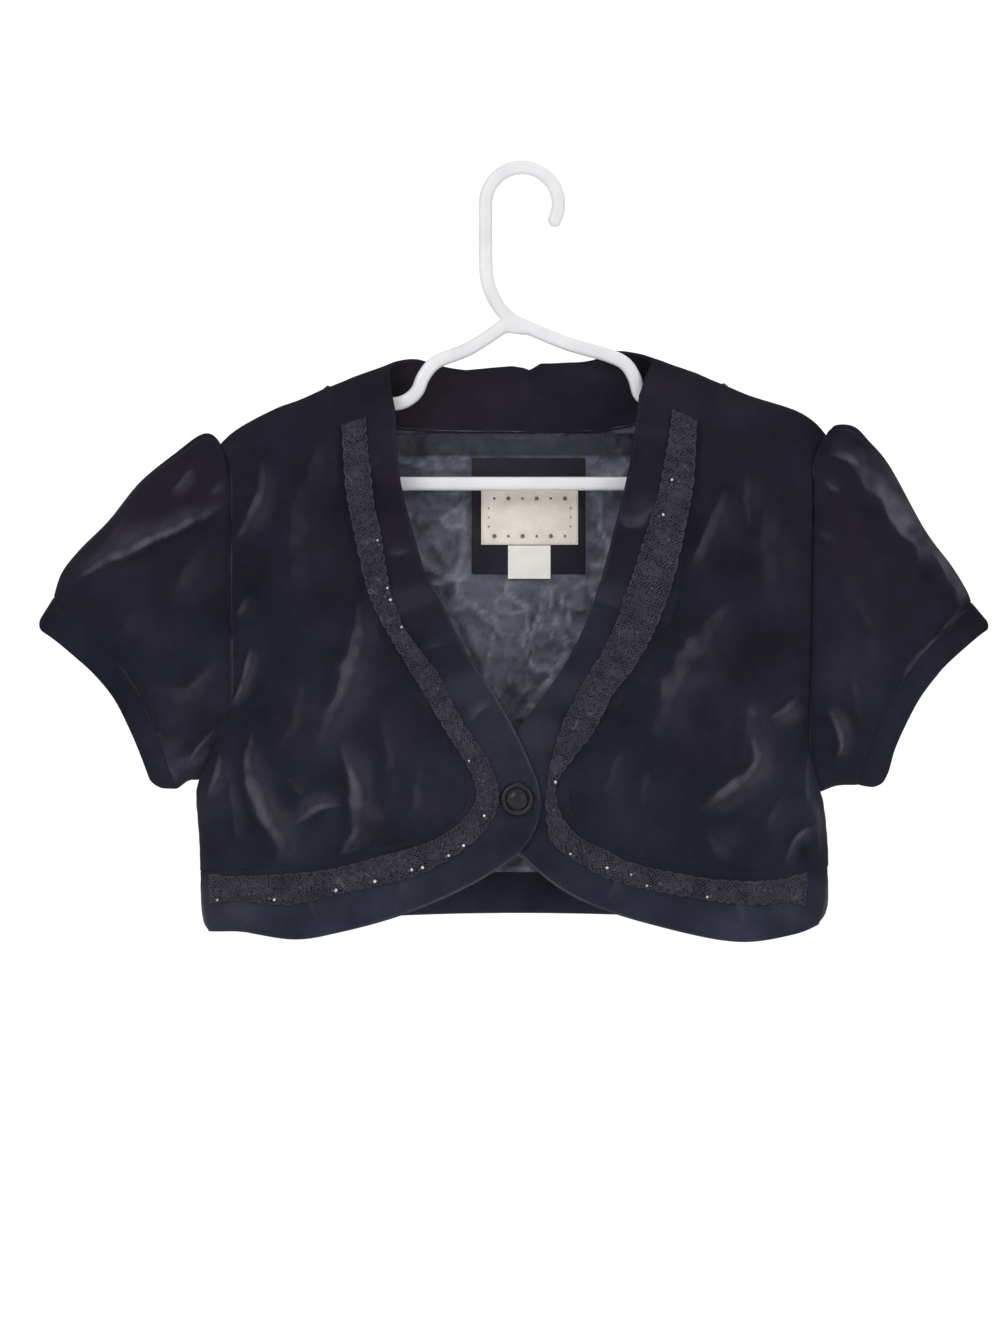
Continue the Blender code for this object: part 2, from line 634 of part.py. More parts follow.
def flat_piece(name, box, layer, colour, across, down):
    """Piece laid on the lining inside the neck, a number of layers above it."""
    left, right, top, bottom = box
    x, z = np.meshgrid(np.linspace(left, right, across), np.linspace(top, bottom, down))
    inset = LINING_INSET + LINING_WALL + PATCH_CLEARANCE + layer * (LABEL_WALL + SEAM_GAP)
    points = lifted(x, z, body_depth(x, z) - inset)
    normals = height_normals(points, body_depth, 1)
    wall(name, points, normals, LABEL_WALL, colour, chamfer=0.0)


# Hard pieces

def button():
    """Turned button with a raised rim round a shallow dish, on a low back boss."""
    radius = BUTTON_RADIUS
    profile = ((0, 1.7), (4.2, 1.9), (6.2, 2.4), (7.4, 3.4), (8.6, 3.8), (9.6, 3.2),
               (radius, 2.0), (9.4, 0.8), (7.0, 0.25), (0, 0))
    mesh = bpy.data.meshes.new("button_profile")
    edges = [(i, i + 1) for i in range(len(profile) - 1)]
    mesh.from_pydata([(r * MM, 0, h * MM) for r, h in profile], edges, [])
    part = bpy.data.objects.new("button", mesh)
    PARTS.objects.link(part)
    turn = part.modifiers.new("turn", "SCREW")
    turn.steps = 28
    turn.render_steps = 28
    turn.use_merge_vertices = True
    turn.merge_threshold = 0.00001
    turn.use_smooth_shade = True
    mesh.materials.append(material("button", "button"))
    seat = float(front_y("right", BUTTON_X, BUTTON_Z)) - SEAM_GAP
    part.location = (BUTTON_X * MM, seat * MM, BUTTON_Z * MM)
    part.rotation_euler = (math.radians(90), 0, 0)
    return part


def tube_mesh(name, points, cyclic):
    curve = bpy.data.curves.new(name, "CURVE")
    curve.dimensions = "3D"
    curve.bevel_depth = TUBE_RADIUS * MM
    curve.bevel_resolution = 2
    curve.use_fill_caps = True
    spline = curve.splines.new("POLY")
    spline.points.add(len(points) - 1)
    for point, (x, z) in zip(spline.points, points):
        point.co = (x * MM, 0, z * MM, 1)
    spline.use_cyclic_u = cyclic
    holder = bpy.data.objects.new(name + "_curve", curve)
    bpy.context.scene.collection.objects.link(holder)
    bpy.context.view_layer.update()
    mesh = bpy.data.meshes.new_from_object(holder.evaluated_get(bpy.context.evaluated_depsgraph_get()))
    bpy.data.objects.remove(holder)
    work = bmesh.new()
    work.from_mesh(mesh)
    bmesh.ops.remove_doubles(work, verts=work.verts, dist=0.00001)
    work.to_mesh(mesh)
    work.free()
    return mesh


def hanger():
    """Moulded tube: a closed frame of two notched arms and a bar, and a hook joined to its top."""
    right = smooth_rows(HANGER_ARM["right"], 34)
    left = smooth_rows(HANGER_ARM["left"], 34)
    frame = np.concatenate([right, left[:0:-1]])
    radius = HOOK_INNER_RADIUS + TUBE_RADIUS
    stem = smooth_rows(HANGER_STEM[::-1], 12)
    arc = []
    for degrees in np.linspace(180, HOOK_TIP_DEGREES, 24):
        turn = math.radians(degrees)
        arc.append((radius * math.cos(turn), radius * math.sin(turn) - HOOK_INNER_RADIUS))
    part = bpy.data.objects.new("hanger", tube_mesh("hanger_frame", frame, True))
    route = np.concatenate([stem, np.array(arc)])
    hook = bpy.data.objects.new("hook_cutter", tube_mesh("hook", route, False))
    PARTS.objects.link(part)
    CUTTERS.objects.link(hook)
    hook.hide_render = True
    hook.display_type = "WIRE"
    part.data.materials.append(material("hanger", "hanger"))
    join = part.modifiers.new("join", "BOOLEAN")
    join.operation = "UNION"
    join.solver = "EXACT"
    join.object = hook
    part.data.shade_smooth()
    return part


for old in list(bpy.data.objects):
    bpy.data.objects.remove(old)
PARTS = bpy.data.collections.new("bolero_jacket")
CUTTERS = bpy.data.collections.new("joining_shapes")
bpy.context.scene.collection.children.link(PARTS)
bpy.context.scene.collection.children.link(CUTTERS)

for one_side in SIDE_SIGN:
    front_panel(one_side)
    front_band(one_side)
    lace(one_side)
    sleeve(one_side)
    cuff(one_side)
back_panel()
back_hem_band()
collar()
lining()
flat_piece("label_patch", PATCH_BOX, 0, "velvet", 6, 6)
flat_piece("label", LABEL_BOX, 1, "label", 6, 4)
flat_piece("size_tab", TAB_BOX, 1, "label", 3, 3)
button()
hanger()
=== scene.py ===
# Looks of the short velvet bolero jacket on its hanger.
# Tables are in millimetres: x to the viewer's right, z up, the front faces -Y.
# The origin is the inner top of the hanger's hook. "right" is the wearer's right, at -X.
import math

import bmesh
import bpy
import numpy as np
from mathutils import Matrix, Vector


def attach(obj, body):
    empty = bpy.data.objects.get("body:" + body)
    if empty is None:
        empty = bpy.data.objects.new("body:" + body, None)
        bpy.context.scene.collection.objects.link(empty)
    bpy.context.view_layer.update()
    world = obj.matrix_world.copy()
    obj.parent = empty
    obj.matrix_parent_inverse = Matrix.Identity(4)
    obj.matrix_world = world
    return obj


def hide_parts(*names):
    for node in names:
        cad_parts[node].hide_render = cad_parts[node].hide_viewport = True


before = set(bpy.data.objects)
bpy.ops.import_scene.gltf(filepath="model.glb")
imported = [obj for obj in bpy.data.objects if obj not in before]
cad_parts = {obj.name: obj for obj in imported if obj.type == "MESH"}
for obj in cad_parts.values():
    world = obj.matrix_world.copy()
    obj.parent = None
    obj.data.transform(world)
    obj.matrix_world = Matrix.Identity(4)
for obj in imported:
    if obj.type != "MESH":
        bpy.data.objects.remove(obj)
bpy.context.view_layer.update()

MM = 0.001
SIDE_SIGN = {"right": -1.0, "left": 1.0}
FACING_FRONT = Matrix.Rotation(math.pi / 2, 4, "X")

# Cloth thicknesses
VELVET = 1.7
BAND = 2.2
SATIN = 0.8
PATCH = 1.0
LABEL = 0.7

# How deep seams sink and tuck in under their neighbour, how far in the lining and labels lie,
# and how crisp the edge of a fold's painted highlight is
SEAM_DIP = 0.2
SOFT_DIP = 0.08
SEAM_REACH = 0.9
TUCK = 0.7
TUCK_DEPTH = 0.6
LINING_INSET = 2.7
LABEL_CLEARANCE = 0.5
LABEL_LAYER = 1.3
FOLD_EDGE = 1.7

# Seams between pieces of one band, which hardly show
SOFT_SEAMS = {"right_band": ("first",), "left_band": ("first",), "back_collar": ("first", "last")}

# Half depths of the hanging garment, front to back
CHEST_DEPTH = 26.0
SHOULDER_FALL = 95.0
SIDE_ROUND = 55.0
ARMHOLE_DEPTH = 20.0
ARMHOLE_POWER = 0.85
SEAM_SLOPE = 3.5
ARMPIT_TUCK = 0.7
ARMPIT_TOP = -336
CUFF_DEPTH = 16.0
SLEEVE_PUFF = 9.0
SEAM_PUFF = 2.5
FRONT_LAP = 1.7
LAP_BLEND = 50.0
LAP_START = 70.0

# Hanger and button sizes
TUBE_RADIUS = 4.5
SQUARENESS = 0.6
HOOK_INNER_RADIUS = 17.4
HOOK_TIP_DEGREES = -32.0
BUTTON_RADIUS = 10.0
BUTTON_X = -3.0
BUTTON_Z = -373.8
BUTTON_SINK = 0.3
# Outline that the button is turned from: radius, height
BUTTON_PROFILE = (
    (0.0, 2.1), (2.6, 2.0), (4.4, 1.45), (5.6, 1.5), (6.6, 2.5), (7.6, 3.6), (8.6, 3.75),
    (9.5, 3.1), (BUTTON_RADIUS, 2.0), (9.5, 0.9), (7.8, 0.3), (0.0, 0.05),
)

# Camera
CAMERA_X = -13.2
CAMERA_Z = -293.7
CAMERA_DISTANCE = 3200.0
FRAME_HEIGHT = 797.4
SENSOR = 36.0

# Room, in metres: floor height, foot and curve of the round wall, its top, and its own light
FLOOR_Z = -0.80
WALL_START = 4.4
WALL_CURVE = 1.2
WALL_TOP = 2.2
WALL_GLOW = 0.18
ARC_STEPS = 12
WALL_STEPS = 72

# Lights: name, place and aim in metres, size, power
LIGHTS = (
    ("key", (-1.3, -2.2, 0.9), (0, 0, -0.28), (1.2, 1.2), 31),
    ("fill", (1.7, -2.0, 0.2), (0, 0, -0.3), (1.4, 1.4), 15),
    ("top", (0.2, -0.2, 1.4), (0, 0, -0.3), (1.4, 0.8), 11),
    ("rear", (0.9, 2.4, 1.5), (0, 0, -0.3), (1.2, 1.2), 7),
)
WORLD_LIGHT = 0.6

# Top fold of the shoulders and the line it would follow across the neck: x, z
RIDGE = (
    (-182, -161), (-169, -151), (-148, -140), (-133, -134.5), (-115, -126.5), (-106, -123.5),
    (-82, -114.5), (-64, -110), (0, -106), (60, -104), (71, -107), (83, -111.5),
    (95, -116.5), (119, -125), (137, -132.3), (161, -139.8), (173, -146), (184, -156),
)

# Armhole seam from the shoulder to the armpit, then the side seam to the hem: x, z
ARMHOLE = {
    "right": ((-181, -161), (-178, -168), (-175.5, -177), (-174, -190), (-174, -250),
              (-174, -315), (-180, -330), (-190, -354), (-194.4, -363)),
    "left": ((183.5, -157), (177, -165), (173.5, -174), (174, -190), (172.8, -255),
             (171.6, -330), (173, -350), (179.4, -370)),
}
SIDE_SEAM = {
    "right": ((-194.4, -363), (-195.6, -374), (-193.6, -402), (-192.8, -432), (-191.4, -448), (-188, -454)),
    "left": ((179.4, -370), (181.4, -379), (183.6, -403), (183.8, -432), (182.4, -443), (178, -450)),
}

# Front bands, a row for each section: seam x, seam z, free edge x, free edge z
FRONT_BAND = {
    "right": (
        (-110.4, -152, -76, -140.5), (-108.6, -190, -73, -180), (-103.2, -220, -67, -207),
        (-94.8, -253.8, -57, -241), (-83, -279, -46.5, -260), (-65, -309, -34, -285),
        (-47.4, -337, -14, -315), (-35, -359, 4, -350), (-32.5, -373, 11.4, -375),
        (-39, -384.5, 5.4, -397), (-51, -393.5, -12, -414), (-66, -398, -42, -431),
        (-82, -401, -74.5, -444), (-111, -408, -107.5, -453), (-140, -413, -135, -457.5),
        (-169, -416.5, -167, -453.5), (-193, -417.6, -188, -454),
    ),
    "left": (
        (108, -150, 70, -133), (105, -190, 63.5, -176), (97.2, -234, 54, -216),
        (89.4, -264, 45, -249), (75, -294, 36, -273), (60, -315, 24, -296),
        (45.6, -337, 10, -316), (34, -353, -3, -333), (28.8, -367, -15, -357),
        (30, -381, -16.5, -383), (39, -393.6, -4, -404), (52, -401.5, 22, -427),
        (68.4, -409, 53, -441.5), (105.6, -414.6, 103, -455), (135, -417, 133.5, -459),
        (163.8, -416, 162, -455), (183.6, -414.5, 178, -450),
    ),
}
CORNER_ROW = 9

# Back collar: seam x, seam z, face of the seam (-1 front, 0 fold, 1 back), edge x, edge y, edge z
COLLAR = (
    (-110.4, -152, -1, -76, None, -140.5), (-113.5, -139, -1, -78.5, -10, -126),
    (-114.6, -126.6, 0, -78, 0, -113.5), (-105, -137.5, 1, -66, 9.5, -109.5),
    (-88, -148, 1, -48, 12.5, -113), (-60, -152, 1, -30, 14, -114),
    (-3, -153, 1, 5, 14.5, -114), (40, -152.5, 1, 27, 14, -112),
    (70, -148, 1, 43, 12.5, -110), (97, -138.5, 1, 58, 9.5, -104.5),
    (118.8, -125.0, 0, 77, 0, -109.5), (114.5, -138, -1, 74, -10, -121), (108, -150, -1, 70, None, -133),
)
# Waves of the collar's free edge behind the hanger: x, rise
COLLAR_WAVE = (
    (-62, 0), (-48, -0.8), (-33.6, -2), (-18, -0.4), (-5.8, 0.5), (1, -0.6), (4.6, -2), (7.6, -0.4),
    (11.4, 1.5), (20, 0.8), (34, 0),
)
COLLAR_BACK_FIRST = 2
COLLAR_BACK_LAST = 10
COLLAR_BLEND = 14.0
HEM_BAND = {
    "seam": ((-193, -417.6), (-110, -412), (-3, -410), (110, -411), (183.6, -414.5)),
    "hem": ((-188, -454), (-130, -449), (-60, -445), (0, -444), (60, -445), (125, -447.5), (178, -450)),
}

# Sleeve rails from the armhole to the cuff seam, and the cuff's two edges: x, z
SLEEVE_TOP = {
    "right": ((-181, -161), (-187, -156.6), (-194, -157.8), (-206, -166.5), (-229, -184.5), (-248, -207.5),
              (-265, -224.4), (-276, -238.5), (-280.8, -253.2)),
    "left": ((183.5, -157), (188, -151.6), (199, -152.2), (208, -160.5), (221, -176), (241.8, -213),
             (257.4, -234), (266, -248), (269.4, -256.2)),
}
SLEEVE_BOTTOM = {
    "right": ((-194.4, -363), (-200, -363.5), (-207, -368.4)),
    "left": ((179.4, -370), (189, -366.5), (201.6, -366)),
}
CUFF_SEAM = {
    "right": ((-280.8, -253.2), (-268, -267), (-253, -280.5), (-240, -293.4), (-229, -310), (-221, -328.5),
              (-215, -346), (-207, -368.4)),
    "left": ((269.4, -256.2), (256.8, -268.2), (244.8, -279.6), (232.8, -292.8), (222.6, -309), (214.8, -326),
             (209.5, -342), (201.6, -366)),
}
CUFF_HEM = {
    "right": ((-292, -271), (-280, -279), (-268, -288.8), (-256, -299.6), (-244.2, -314), (-235, -332),
              (-228, -349), (-221.5, -368)),
    "left": ((282, -271), (273.6, -276.6), (256.8, -291), (247.8, -300.6), (236, -317), (224, -342),
             (219.4, -358), (214.6, -368.4)),
}

# Rounding of the cuff's hem at its top fold and under the arm
CUFF_ROUND = {"right": (5.5, 6.5), "left": (4.5, 5.5)}

# Hanger frame and stem: x, z
HANGER_ARM = {
    "right": ((-6, -87.5), (-31, -103.8), (-51, -112), (-59, -120.8), (-63.5, -130.5), (-73, -136.8),
              (-90, -137.5), (-112, -138.2), (-133, -143.7), (-150, -151.2), (-163, -160.3),
              (-168.5, -170), (-166, -181.5), (-156, -185.2)),
    "left": ((-6, -87.5), (26, -100.8), (51, -108), (62, -113.4), (67.5, -121.8), (71.5, -132.6),
             (84, -137.5), (110, -137), (133, -141.9), (150, -148), (163, -156.5), (168.5, -167.5),
             (166, -181.5), (156, -185.2)),
}
HANGER_STEM = ((-21.9, -30), (-21.6, -57), (-19.5, -68), (-14, -79), (-6, -87.5))
HANGER_WEB = ((-14, -91), (2, -93))
WEB_RADIUS = 3.4
HANGER_VOXEL = 0.0011

# Folds, each a run of x, z points, then its half width, its height and the strength of the painted highlight
# and painted shade along it
FRONT_FOLDS = {
    "right": (
        (((-96.6, -256), (-98, -279), (-104, -298), (-111, -315), (-122, -343)), 5.6, 2.6, 0.58),
        (((-108, -340), (-100.5, -362), (-98.4, -388), (-108.6, -411)), 4.2, 2.4, 0.9),
        (((-161, -333), (-162.6, -358), (-151.6, -386), (-143, -400), (-146, -412)), 4.4, 2.2, 0.85),
        (((-136, -389), (-121, -378), (-108, -377)), 2.8, 1.2, 0.75),
        (((-139, -361), (-130, -372)), 2.2, 0.8, 0.35),
        (((-161, -284), (-165, -300), (-173, -319)), 2.0, 1.2, 0.9),
        (((-180.4, -346), (-182, -360), (-188, -374)), 2.2, 1.0, 0.8),
        (((-155.5, -172), (-157, -193), (-163, -207), (-171, -220)), 3.6, 1.3, 0.6),
        (((-161, -252), (-170, -266)), 3.0, 0.8, 0.35),
        (((-176.5, -350), (-172, -378), (-168, -402)), 2.2, 0.9, 0.3),
        (((-128, -180), (-134, -214), (-131, -252)), 8.0, 1.2, 0.14),
        (((-84, -318), (-78, -350), (-80, -384)), 6.0, 1.2, 0.16),
        (((-130, -300), (-134, -326), (-146, -348)), 5.0, 1.1, 0.18),
        (((-60, -352), (-64, -388)), 4.0, 0.8, 0.2),
        (((-118, -160), (-127, -196)), 7.0, 1.0, 0.12),
    ),
    "left": (
        (((165, -314), (157, -321), (148, -326)), 2.6, 1.2, 0.8),
        (((137, -333), (139.5, -352), (131.5, -361), (121, -369), (107, -382)), 4.4, 2.6, 0.95),
        (((125, -256), (110, -274), (99, -287), (91, -301), (85, -322), (79, -338)), 7.5, 2.2, 0.42),
        (((122, -190), (112, -212), (100, -237)), 5.0, 1.6, 0.42),
        (((133, -180), (136, -212)), 3.2, 0.8, 0.22),
        (((171.5, -345), (170.6, -368), (174, -386)), 1.6, 0.9, 0.4),
        (((179, -389), (168.6, -394), (161.5, -401), (157, -416)), 2.2, 1.8, 0.75),
        (((157, -370), (145, -393)), 3.2, 0.9, 0.22),
        (((75, -356), (71, -380)), 4.0, 0.9, 0.2),
        (((138, -312), (134, -338)), 5.0, 1.2, 0.3),
        (((152, -188), (147, -222), (150, -262)), 8.0, 1.1, 0.14),
        (((60, -342), (50, -372)), 4.0, 0.9, 0.16),
        (((110, -392), (124, -412)), 4.0, 0.8, 0.18),
        (((173, -372), (178, -390), (178, -410)), 4.0, 0.6, 0.4),
    ),
}
BACK_FOLDS = (
    (((-156, -212), (-140, -240), (-112, -276), (-98, -306)), 6.0, 2.4, 0.6),
    (((-62, -246), (-74, -290), (-86, -334), (-84, -388)), 5.5, 2.2, 0.7),
    (((24, -226), (10, -268), (12, -304), (2, -336)), 6.5, 1.8, 0.35),
    (((98, -232), (88, -268), (70, -298), (58, -334)), 6.0, 2.4, 0.65),
    (((154, -300), (146, -332), (130, -360), (122, -394)), 5.0, 2.4, 0.75),
    (((-24, -338), (-4, -366), (24, -392), (34, -404)), 5.0, 1.8, 0.45),
    (((-124, -326), (-122, -366), (-106, -404)), 4.0, 2.0, 0.7),
    (((72, -350), (84, -378), (82, -406)), 4.0, 1.6, 0.5),
    (((-38, -166), (-48, -198), (-52, -232)), 7.0, 1.1, 0.2),
    (((50, -166), (58, -194), (62, -228)), 7.0, 1.1, 0.2),
    (((-170, -296), (-164, -322), (-150, -352)), 3.2, 1.5, 0.7),
    (((162, -220), (156, -244), (142, -270)), 4.0, 1.3, 0.45),
    (((-178, -380), (-166, -392), (-150, -404)), 2.8, 1.5, 0.65),
    (((170, -372), (162, -390), (150, -404)), 2.8, 1.5, 0.6),
    (((-20, -250), (-32, -280), (-28, -312)), 6.0, 1.2, 0.2),
    (((120, -180), (132, -208), (130, -236)), 7.0, 1.1, 0.2),
)
SLEEVE_FOLDS = {
    "right": (
        (((-267, -242), (-250, -233), (-231, -223), (-217, -216.6), (-202, -210.6), (-188, -203.6),
          (-176, -196)), 3.6, 1.8, 1.0),
        (((-196, -177), (-203, -186), (-210, -192)), 1.9, 0.9, 0.6),
        (((-186, -222), (-197, -241), (-208, -260)), 5.5, 1.3, 0.24),
        (((-177, -291), (-190, -305), (-202, -311), (-224, -309)), 7.5, 1.6, 0.32),
        (((-182, -331), (-191, -341), (-202, -356)), 1.2, 1.2, 0.75),
        (((-214, -334), (-226, -341)), 2.2, 0.7, 0.35),
        (((-226, -343), (-216, -354), (-204, -362)), 7.0, 0.8, 0.55),
        (((-178, -184), (-186, -193)), 1.5, 0.6, 0.4),
        (((-236, -204), (-246, -222), (-262, -236)), 5.0, 1.2, 0.16),
        (((-228, -262), (-238, -280)), 6.0, 1.0, 0.14),
        (((-184, -344), (-198, -352), (-214, -352)), 6.0, 0.8, 0.4),
    ),
    "left": (
        (((199, -172), (211, -185), (222, -199), (234, -217), (246, -236)), 10.5, 1.6, 0.95),
        (((183, -167), (194, -169.5), (207, -179)), 3.4, 1.2, 0.8),
        (((240, -216), (252, -232), (260, -246), (265, -259)), 7.0, 0.9, 0.9),
        (((182, -320), (188.5, -331), (191, -342), (188, -350)), 2.2, 1.3, 0.9),
        (((263, -259), (250, -277), (236, -295)), 2.4, 0.8, 0.85),
        (((180, -184), (190, -191)), 1.5, 0.6, 0.45),
        (((190, -236), (206, -262), (212, -296)), 8.0, 1.3, 0.12),
        (((196, -300), (204, -332)), 5.0, 1.2, 0.16),
        (((176, -214), (190, -222)), 3.0, 0.8, 0.2),
    ),
}
BAND_FOLDS = {
    "right": (
        (((-80, -227.6), (-65, -226)), 1.5, 0.7, 0.4),
        (((-60, -284), (-45, -280.5)), 1.5, 0.6, 0.3),
        (((-31, -327), (-24, -319), (-18, -317)), 1.6, 0.9, 0.75),
        (((-98, -176), (-82, -172)), 2.2, 0.6, 0.15),
        (((-130, -424), (-122, -446)), 2.6, 0.6, 0.25),
        (((-72, -414), (-70, -436)), 2.6, 0.6, 0.2),
    ),
    "left": (
        (((56, -206), (70, -208), (84, -193)), 5.0, 1.2, 0.4),
        (((84, -130), (101, -131), (106, -142)), 1.8, 0.8, 0.4),
        (((30, -330), (41, -341)), 1.8, 0.7, 0.35),
        (((128, -424), (132, -448)), 2.6, 0.6, 0.25),
        (((60, -418), (52, -436)), 2.4, 0.6, 0.2),
    ),
}
LINING_FOLDS = (
    (((-75, -169), (-61, -173.5), (-40, -176), (-32, -170)), 1.3, 1.0, 0.75),
    (((-57, -245.5), (-44, -242.6), (-28, -243)), 1.2, 1.4, 1.0),
    (((-62, -214), (-48, -226), (-44, -238)), 1.6, 1.0, 0.5),
    (((-44, -196), (-38, -212), (-36, -232)), 1.6, 0.9, 0.45),
    (((8, -244), (18, -251), (9, -271), (5, -287), (3, -303), (3.5, -315), (-1, -324)), 1.1, -1.3, 0.0),
    (((12, -249), (12.5, -258), (6.5, -274), (1.5, -290)), 1.1, 1.0, 0.9),
    (((-19, -303), (-12, -316), (-4, -331)), 1.0, 1.1, 0.85),
    (((4, -295), (18, -298), (16, -305), (4, -316)), 1.2, 1.2, 0.8),
    (((-30, -262), (-14, -272), (-8, -292)), 2.2, 1.1, 0.45),
    (((-46, -256), (-34, -270), (-22, -300)), 1.8, 1.0, 0.45),
    (((26, -250), (40, -244), (50, -250)), 1.2, 1.1, 0.8),
    (((20, -262), (30, -258), (44, -262)), 1.2, 1.0, 0.7),
    (((22, -272), (28, -286), (18, -300)), 1.6, 1.0, 0.45),
    (((44, -168), (54, -180), (52, -200)), 1.6, 1.1, 0.55),
    (((58, -160), (66, -176)), 1.4, 0.9, 0.6),
    (((-20, -159), (4, -157.5), (10, -166)), 1.3, 0.9, 0.7),
    (((18, -156), (22, -166)), 1.2, 0.9, 0.7),
    (((-34, -176), (-34.4, -206), (-34, -238)), 0.9, 0.7, 0.55),
    (((-66, -300), (-48, -340), (-44, -384)), 6.0, 1.8, 0.3),
    (((70, -300), (54, -346), (50, -384)), 6.0, 1.8, 0.3),
    (((-26, -396), (2, -403), (28, -399)), 3.0, 1.8, 0.6),
)

# Gathers of the sleeve cap: turn from the top in radians, half width, reach along the sleeve, height
CAP_GATHERS = (
    (0.10, 0.055, 0.34, 1.7), (0.27, 0.060, 0.46, 2.1), (0.45, 0.065, 0.30, 1.6), (0.63, 0.070, 0.52, 2.0),
    (0.82, 0.070, 0.28, 1.4), (1.02, 0.080, 0.40, 1.5), (1.24, 0.080, 0.22, 1.0), (1.48, 0.090, 0.26, 0.9),
)

# Edges of the lining: top, bottom, right, left
LINING_OUTLINE = (
    ((-150, -162), (-108, -161), (-80, -155), (-3, -154.2), (80, -155), (104, -159), (150, -160)),
    ((-168, -412), (-90, -417), (-3, -419), (90, -417), (160, -411)),
    ((-150, -162), (-150, -300), (-160, -350), (-168, -412)),
    ((150, -160), (150, -300), (154, -350), (160, -411)),
)

# Painted shade in the hollows of the cloth: x, z, half width, half height, depth of the tone
HOLLOWS = {
    "right_front": ((-128, -330, 9, 16, 0.35), (-92, -392, 8, 14, 0.3), (-150, -404, 5, 8, 0.35)),
    "left_front": ((168.6, -406, 4, 6, 0.9), (128, -346, 5, 10, 0.35), (100, -380, 8, 8, 0.3)),
    "right_sleeve": ((-214, -226, 16, 5, 0.3), (-190, -322, 6, 9, 0.4)),
    "left_sleeve": ((242, -240.4, 5, 10.5, 0.85), (199, -161.5, 11, 4, 0.7), (186, -344, 2.6, 9, 0.5),
                    (190, -178, 7, 4, 0.5)),
    "left_band": ((97, -149, 9, 2.2, 0.8),),
    "right_band": ((-6, -346, 5, 8, 0.3),),
    "back": ((-124, -300, 10, 18, 0.35), (84, -310, 10, 18, 0.35), (-10, -372, 14, 8, 0.3)),
}

# Labels: left x, right x, top z, bottom z
PATCH_BOX = (-30, 38, -169, -239)
LABEL_BOX = (-24.6, 34, -184, -221.4)
TAB_BOX = (-8.4, 17.4, -221.8, -242)

# Painted highlight on the free edge of the band, at each of its sections
RIM_LIGHT = {
    "right": (0.1, 0.1, 0.1, 0.1, 0.15, 0.3, 0.7, 0.7, 0.2, 0.45, 0.9, 0.9, 0.55, 0.2, 0.15, 0.15, 0.1),
    "left": (0.1, 0.1, 0.15, 0.2, 0.15, 0.1, 0.1, 0.1, 0.1, 0.45, 0.9, 0.9, 0.55, 0.2, 0.15, 0.15, 0.1),
}

# Painted highlight along seams, by piece and edge: top z, bottom z, strength
SEAM_LIGHT = {
    "right_front": {"left": ((-176, -338, 0.6),)},
    "right_sleeve": {"first": ((-178, -345, 0.35),)},
    "left_front": {"left": ((-160, -176, 0.3), (-346, -372, 0.5))},
    "left_sleeve": {"first": ((-158, -186, 0.6), (-312, -352, 0.45)), "last": ((-260, -302, 0.5),)},
    "left_cuff": {"first": ((-258, -304, 0.6),)},
    "right_cuff": {"first": ((-290, -340, 0.2),)},
}

# Lace on each band section: distance from the seam, width
LACE = {
    "right": (
        (2, 17), (3.2, 17.4), (3.4, 17.4), (3.3, 14.5), (4, 12), (3.7, 15.4), (3, 13), (4, 14.5),
        (4.5, 15.5), (3.5, 17), (3, 18), (4, 18), (5, 18.5), (6.2, 17), (4.5, 20.5), (2.5, 16.5), (3, 14),
    ),
    "left": (
        (3, 18), (3, 21), (4, 25), (5.5, 26), (5.5, 23.5), (6, 20.5), (3.5, 21), (4, 14), (8, 7),
        (6.5, 10), (6, 18), (2.5, 17.5), (2.5, 15), (5, 14.5), (5, 15.5), (4, 16), (4, 16),
    ),
}
LACE_END = {"right": 0.988, "left": 0.972}
LACE_STEP = 0.62
LACE_TILT = 5.0
LACE_TILT_REACH = 14.0
LACE_MOTIF = 13.0
YARN = 0.7

# Places where sequins catch the light: x, z
SPARKLES = {
    "right": (
        (-84, -220.2), (-80.4, -248.4), (-75.6, -254.4), (-69.6, -270.6), (-31.8, -351), (-22.8, -383.4),
        (-33.6, -402.6), (-42, -409.2), (-57.6, -417), (-65.4, -415.8), (-87.6, -422.4), (-109.2, -430.8),
        (-147.6, -435), (-190.2, -434.4),
    ),
    "left": (
        (89.4, -184.2), (83.4, -204.6), (21, -363.6), (28.8, -406.8), (50.4, -414.6), (64.8, -418.8),
        (74.4, -425.4), (109.8, -433.2),
    ),
}
SEQUIN_RADIUS = 1.0
SEQUIN_ROWS = 800
SEQUIN_COLUMNS = 15

# Grids of the cloth pieces: length and steps over it
GRID = {
    "front across": (150, 96), "front down": (280, 168), "back down": (270, 124),
    "hem across": (370, 190), "hem down": (35, 14), "band along": (430, 330), "band across": (38, 18),
    "collar along": (300, 170), "sleeve along": (100, 84), "lining across": (310, 140),
    "lining down": (260, 120),
}
BACK_STEPS = 180
ROUND_STEPS = 260
BAND_LENGTH = 430
LACE_WIDTH = 20


# Curves, noise and folds

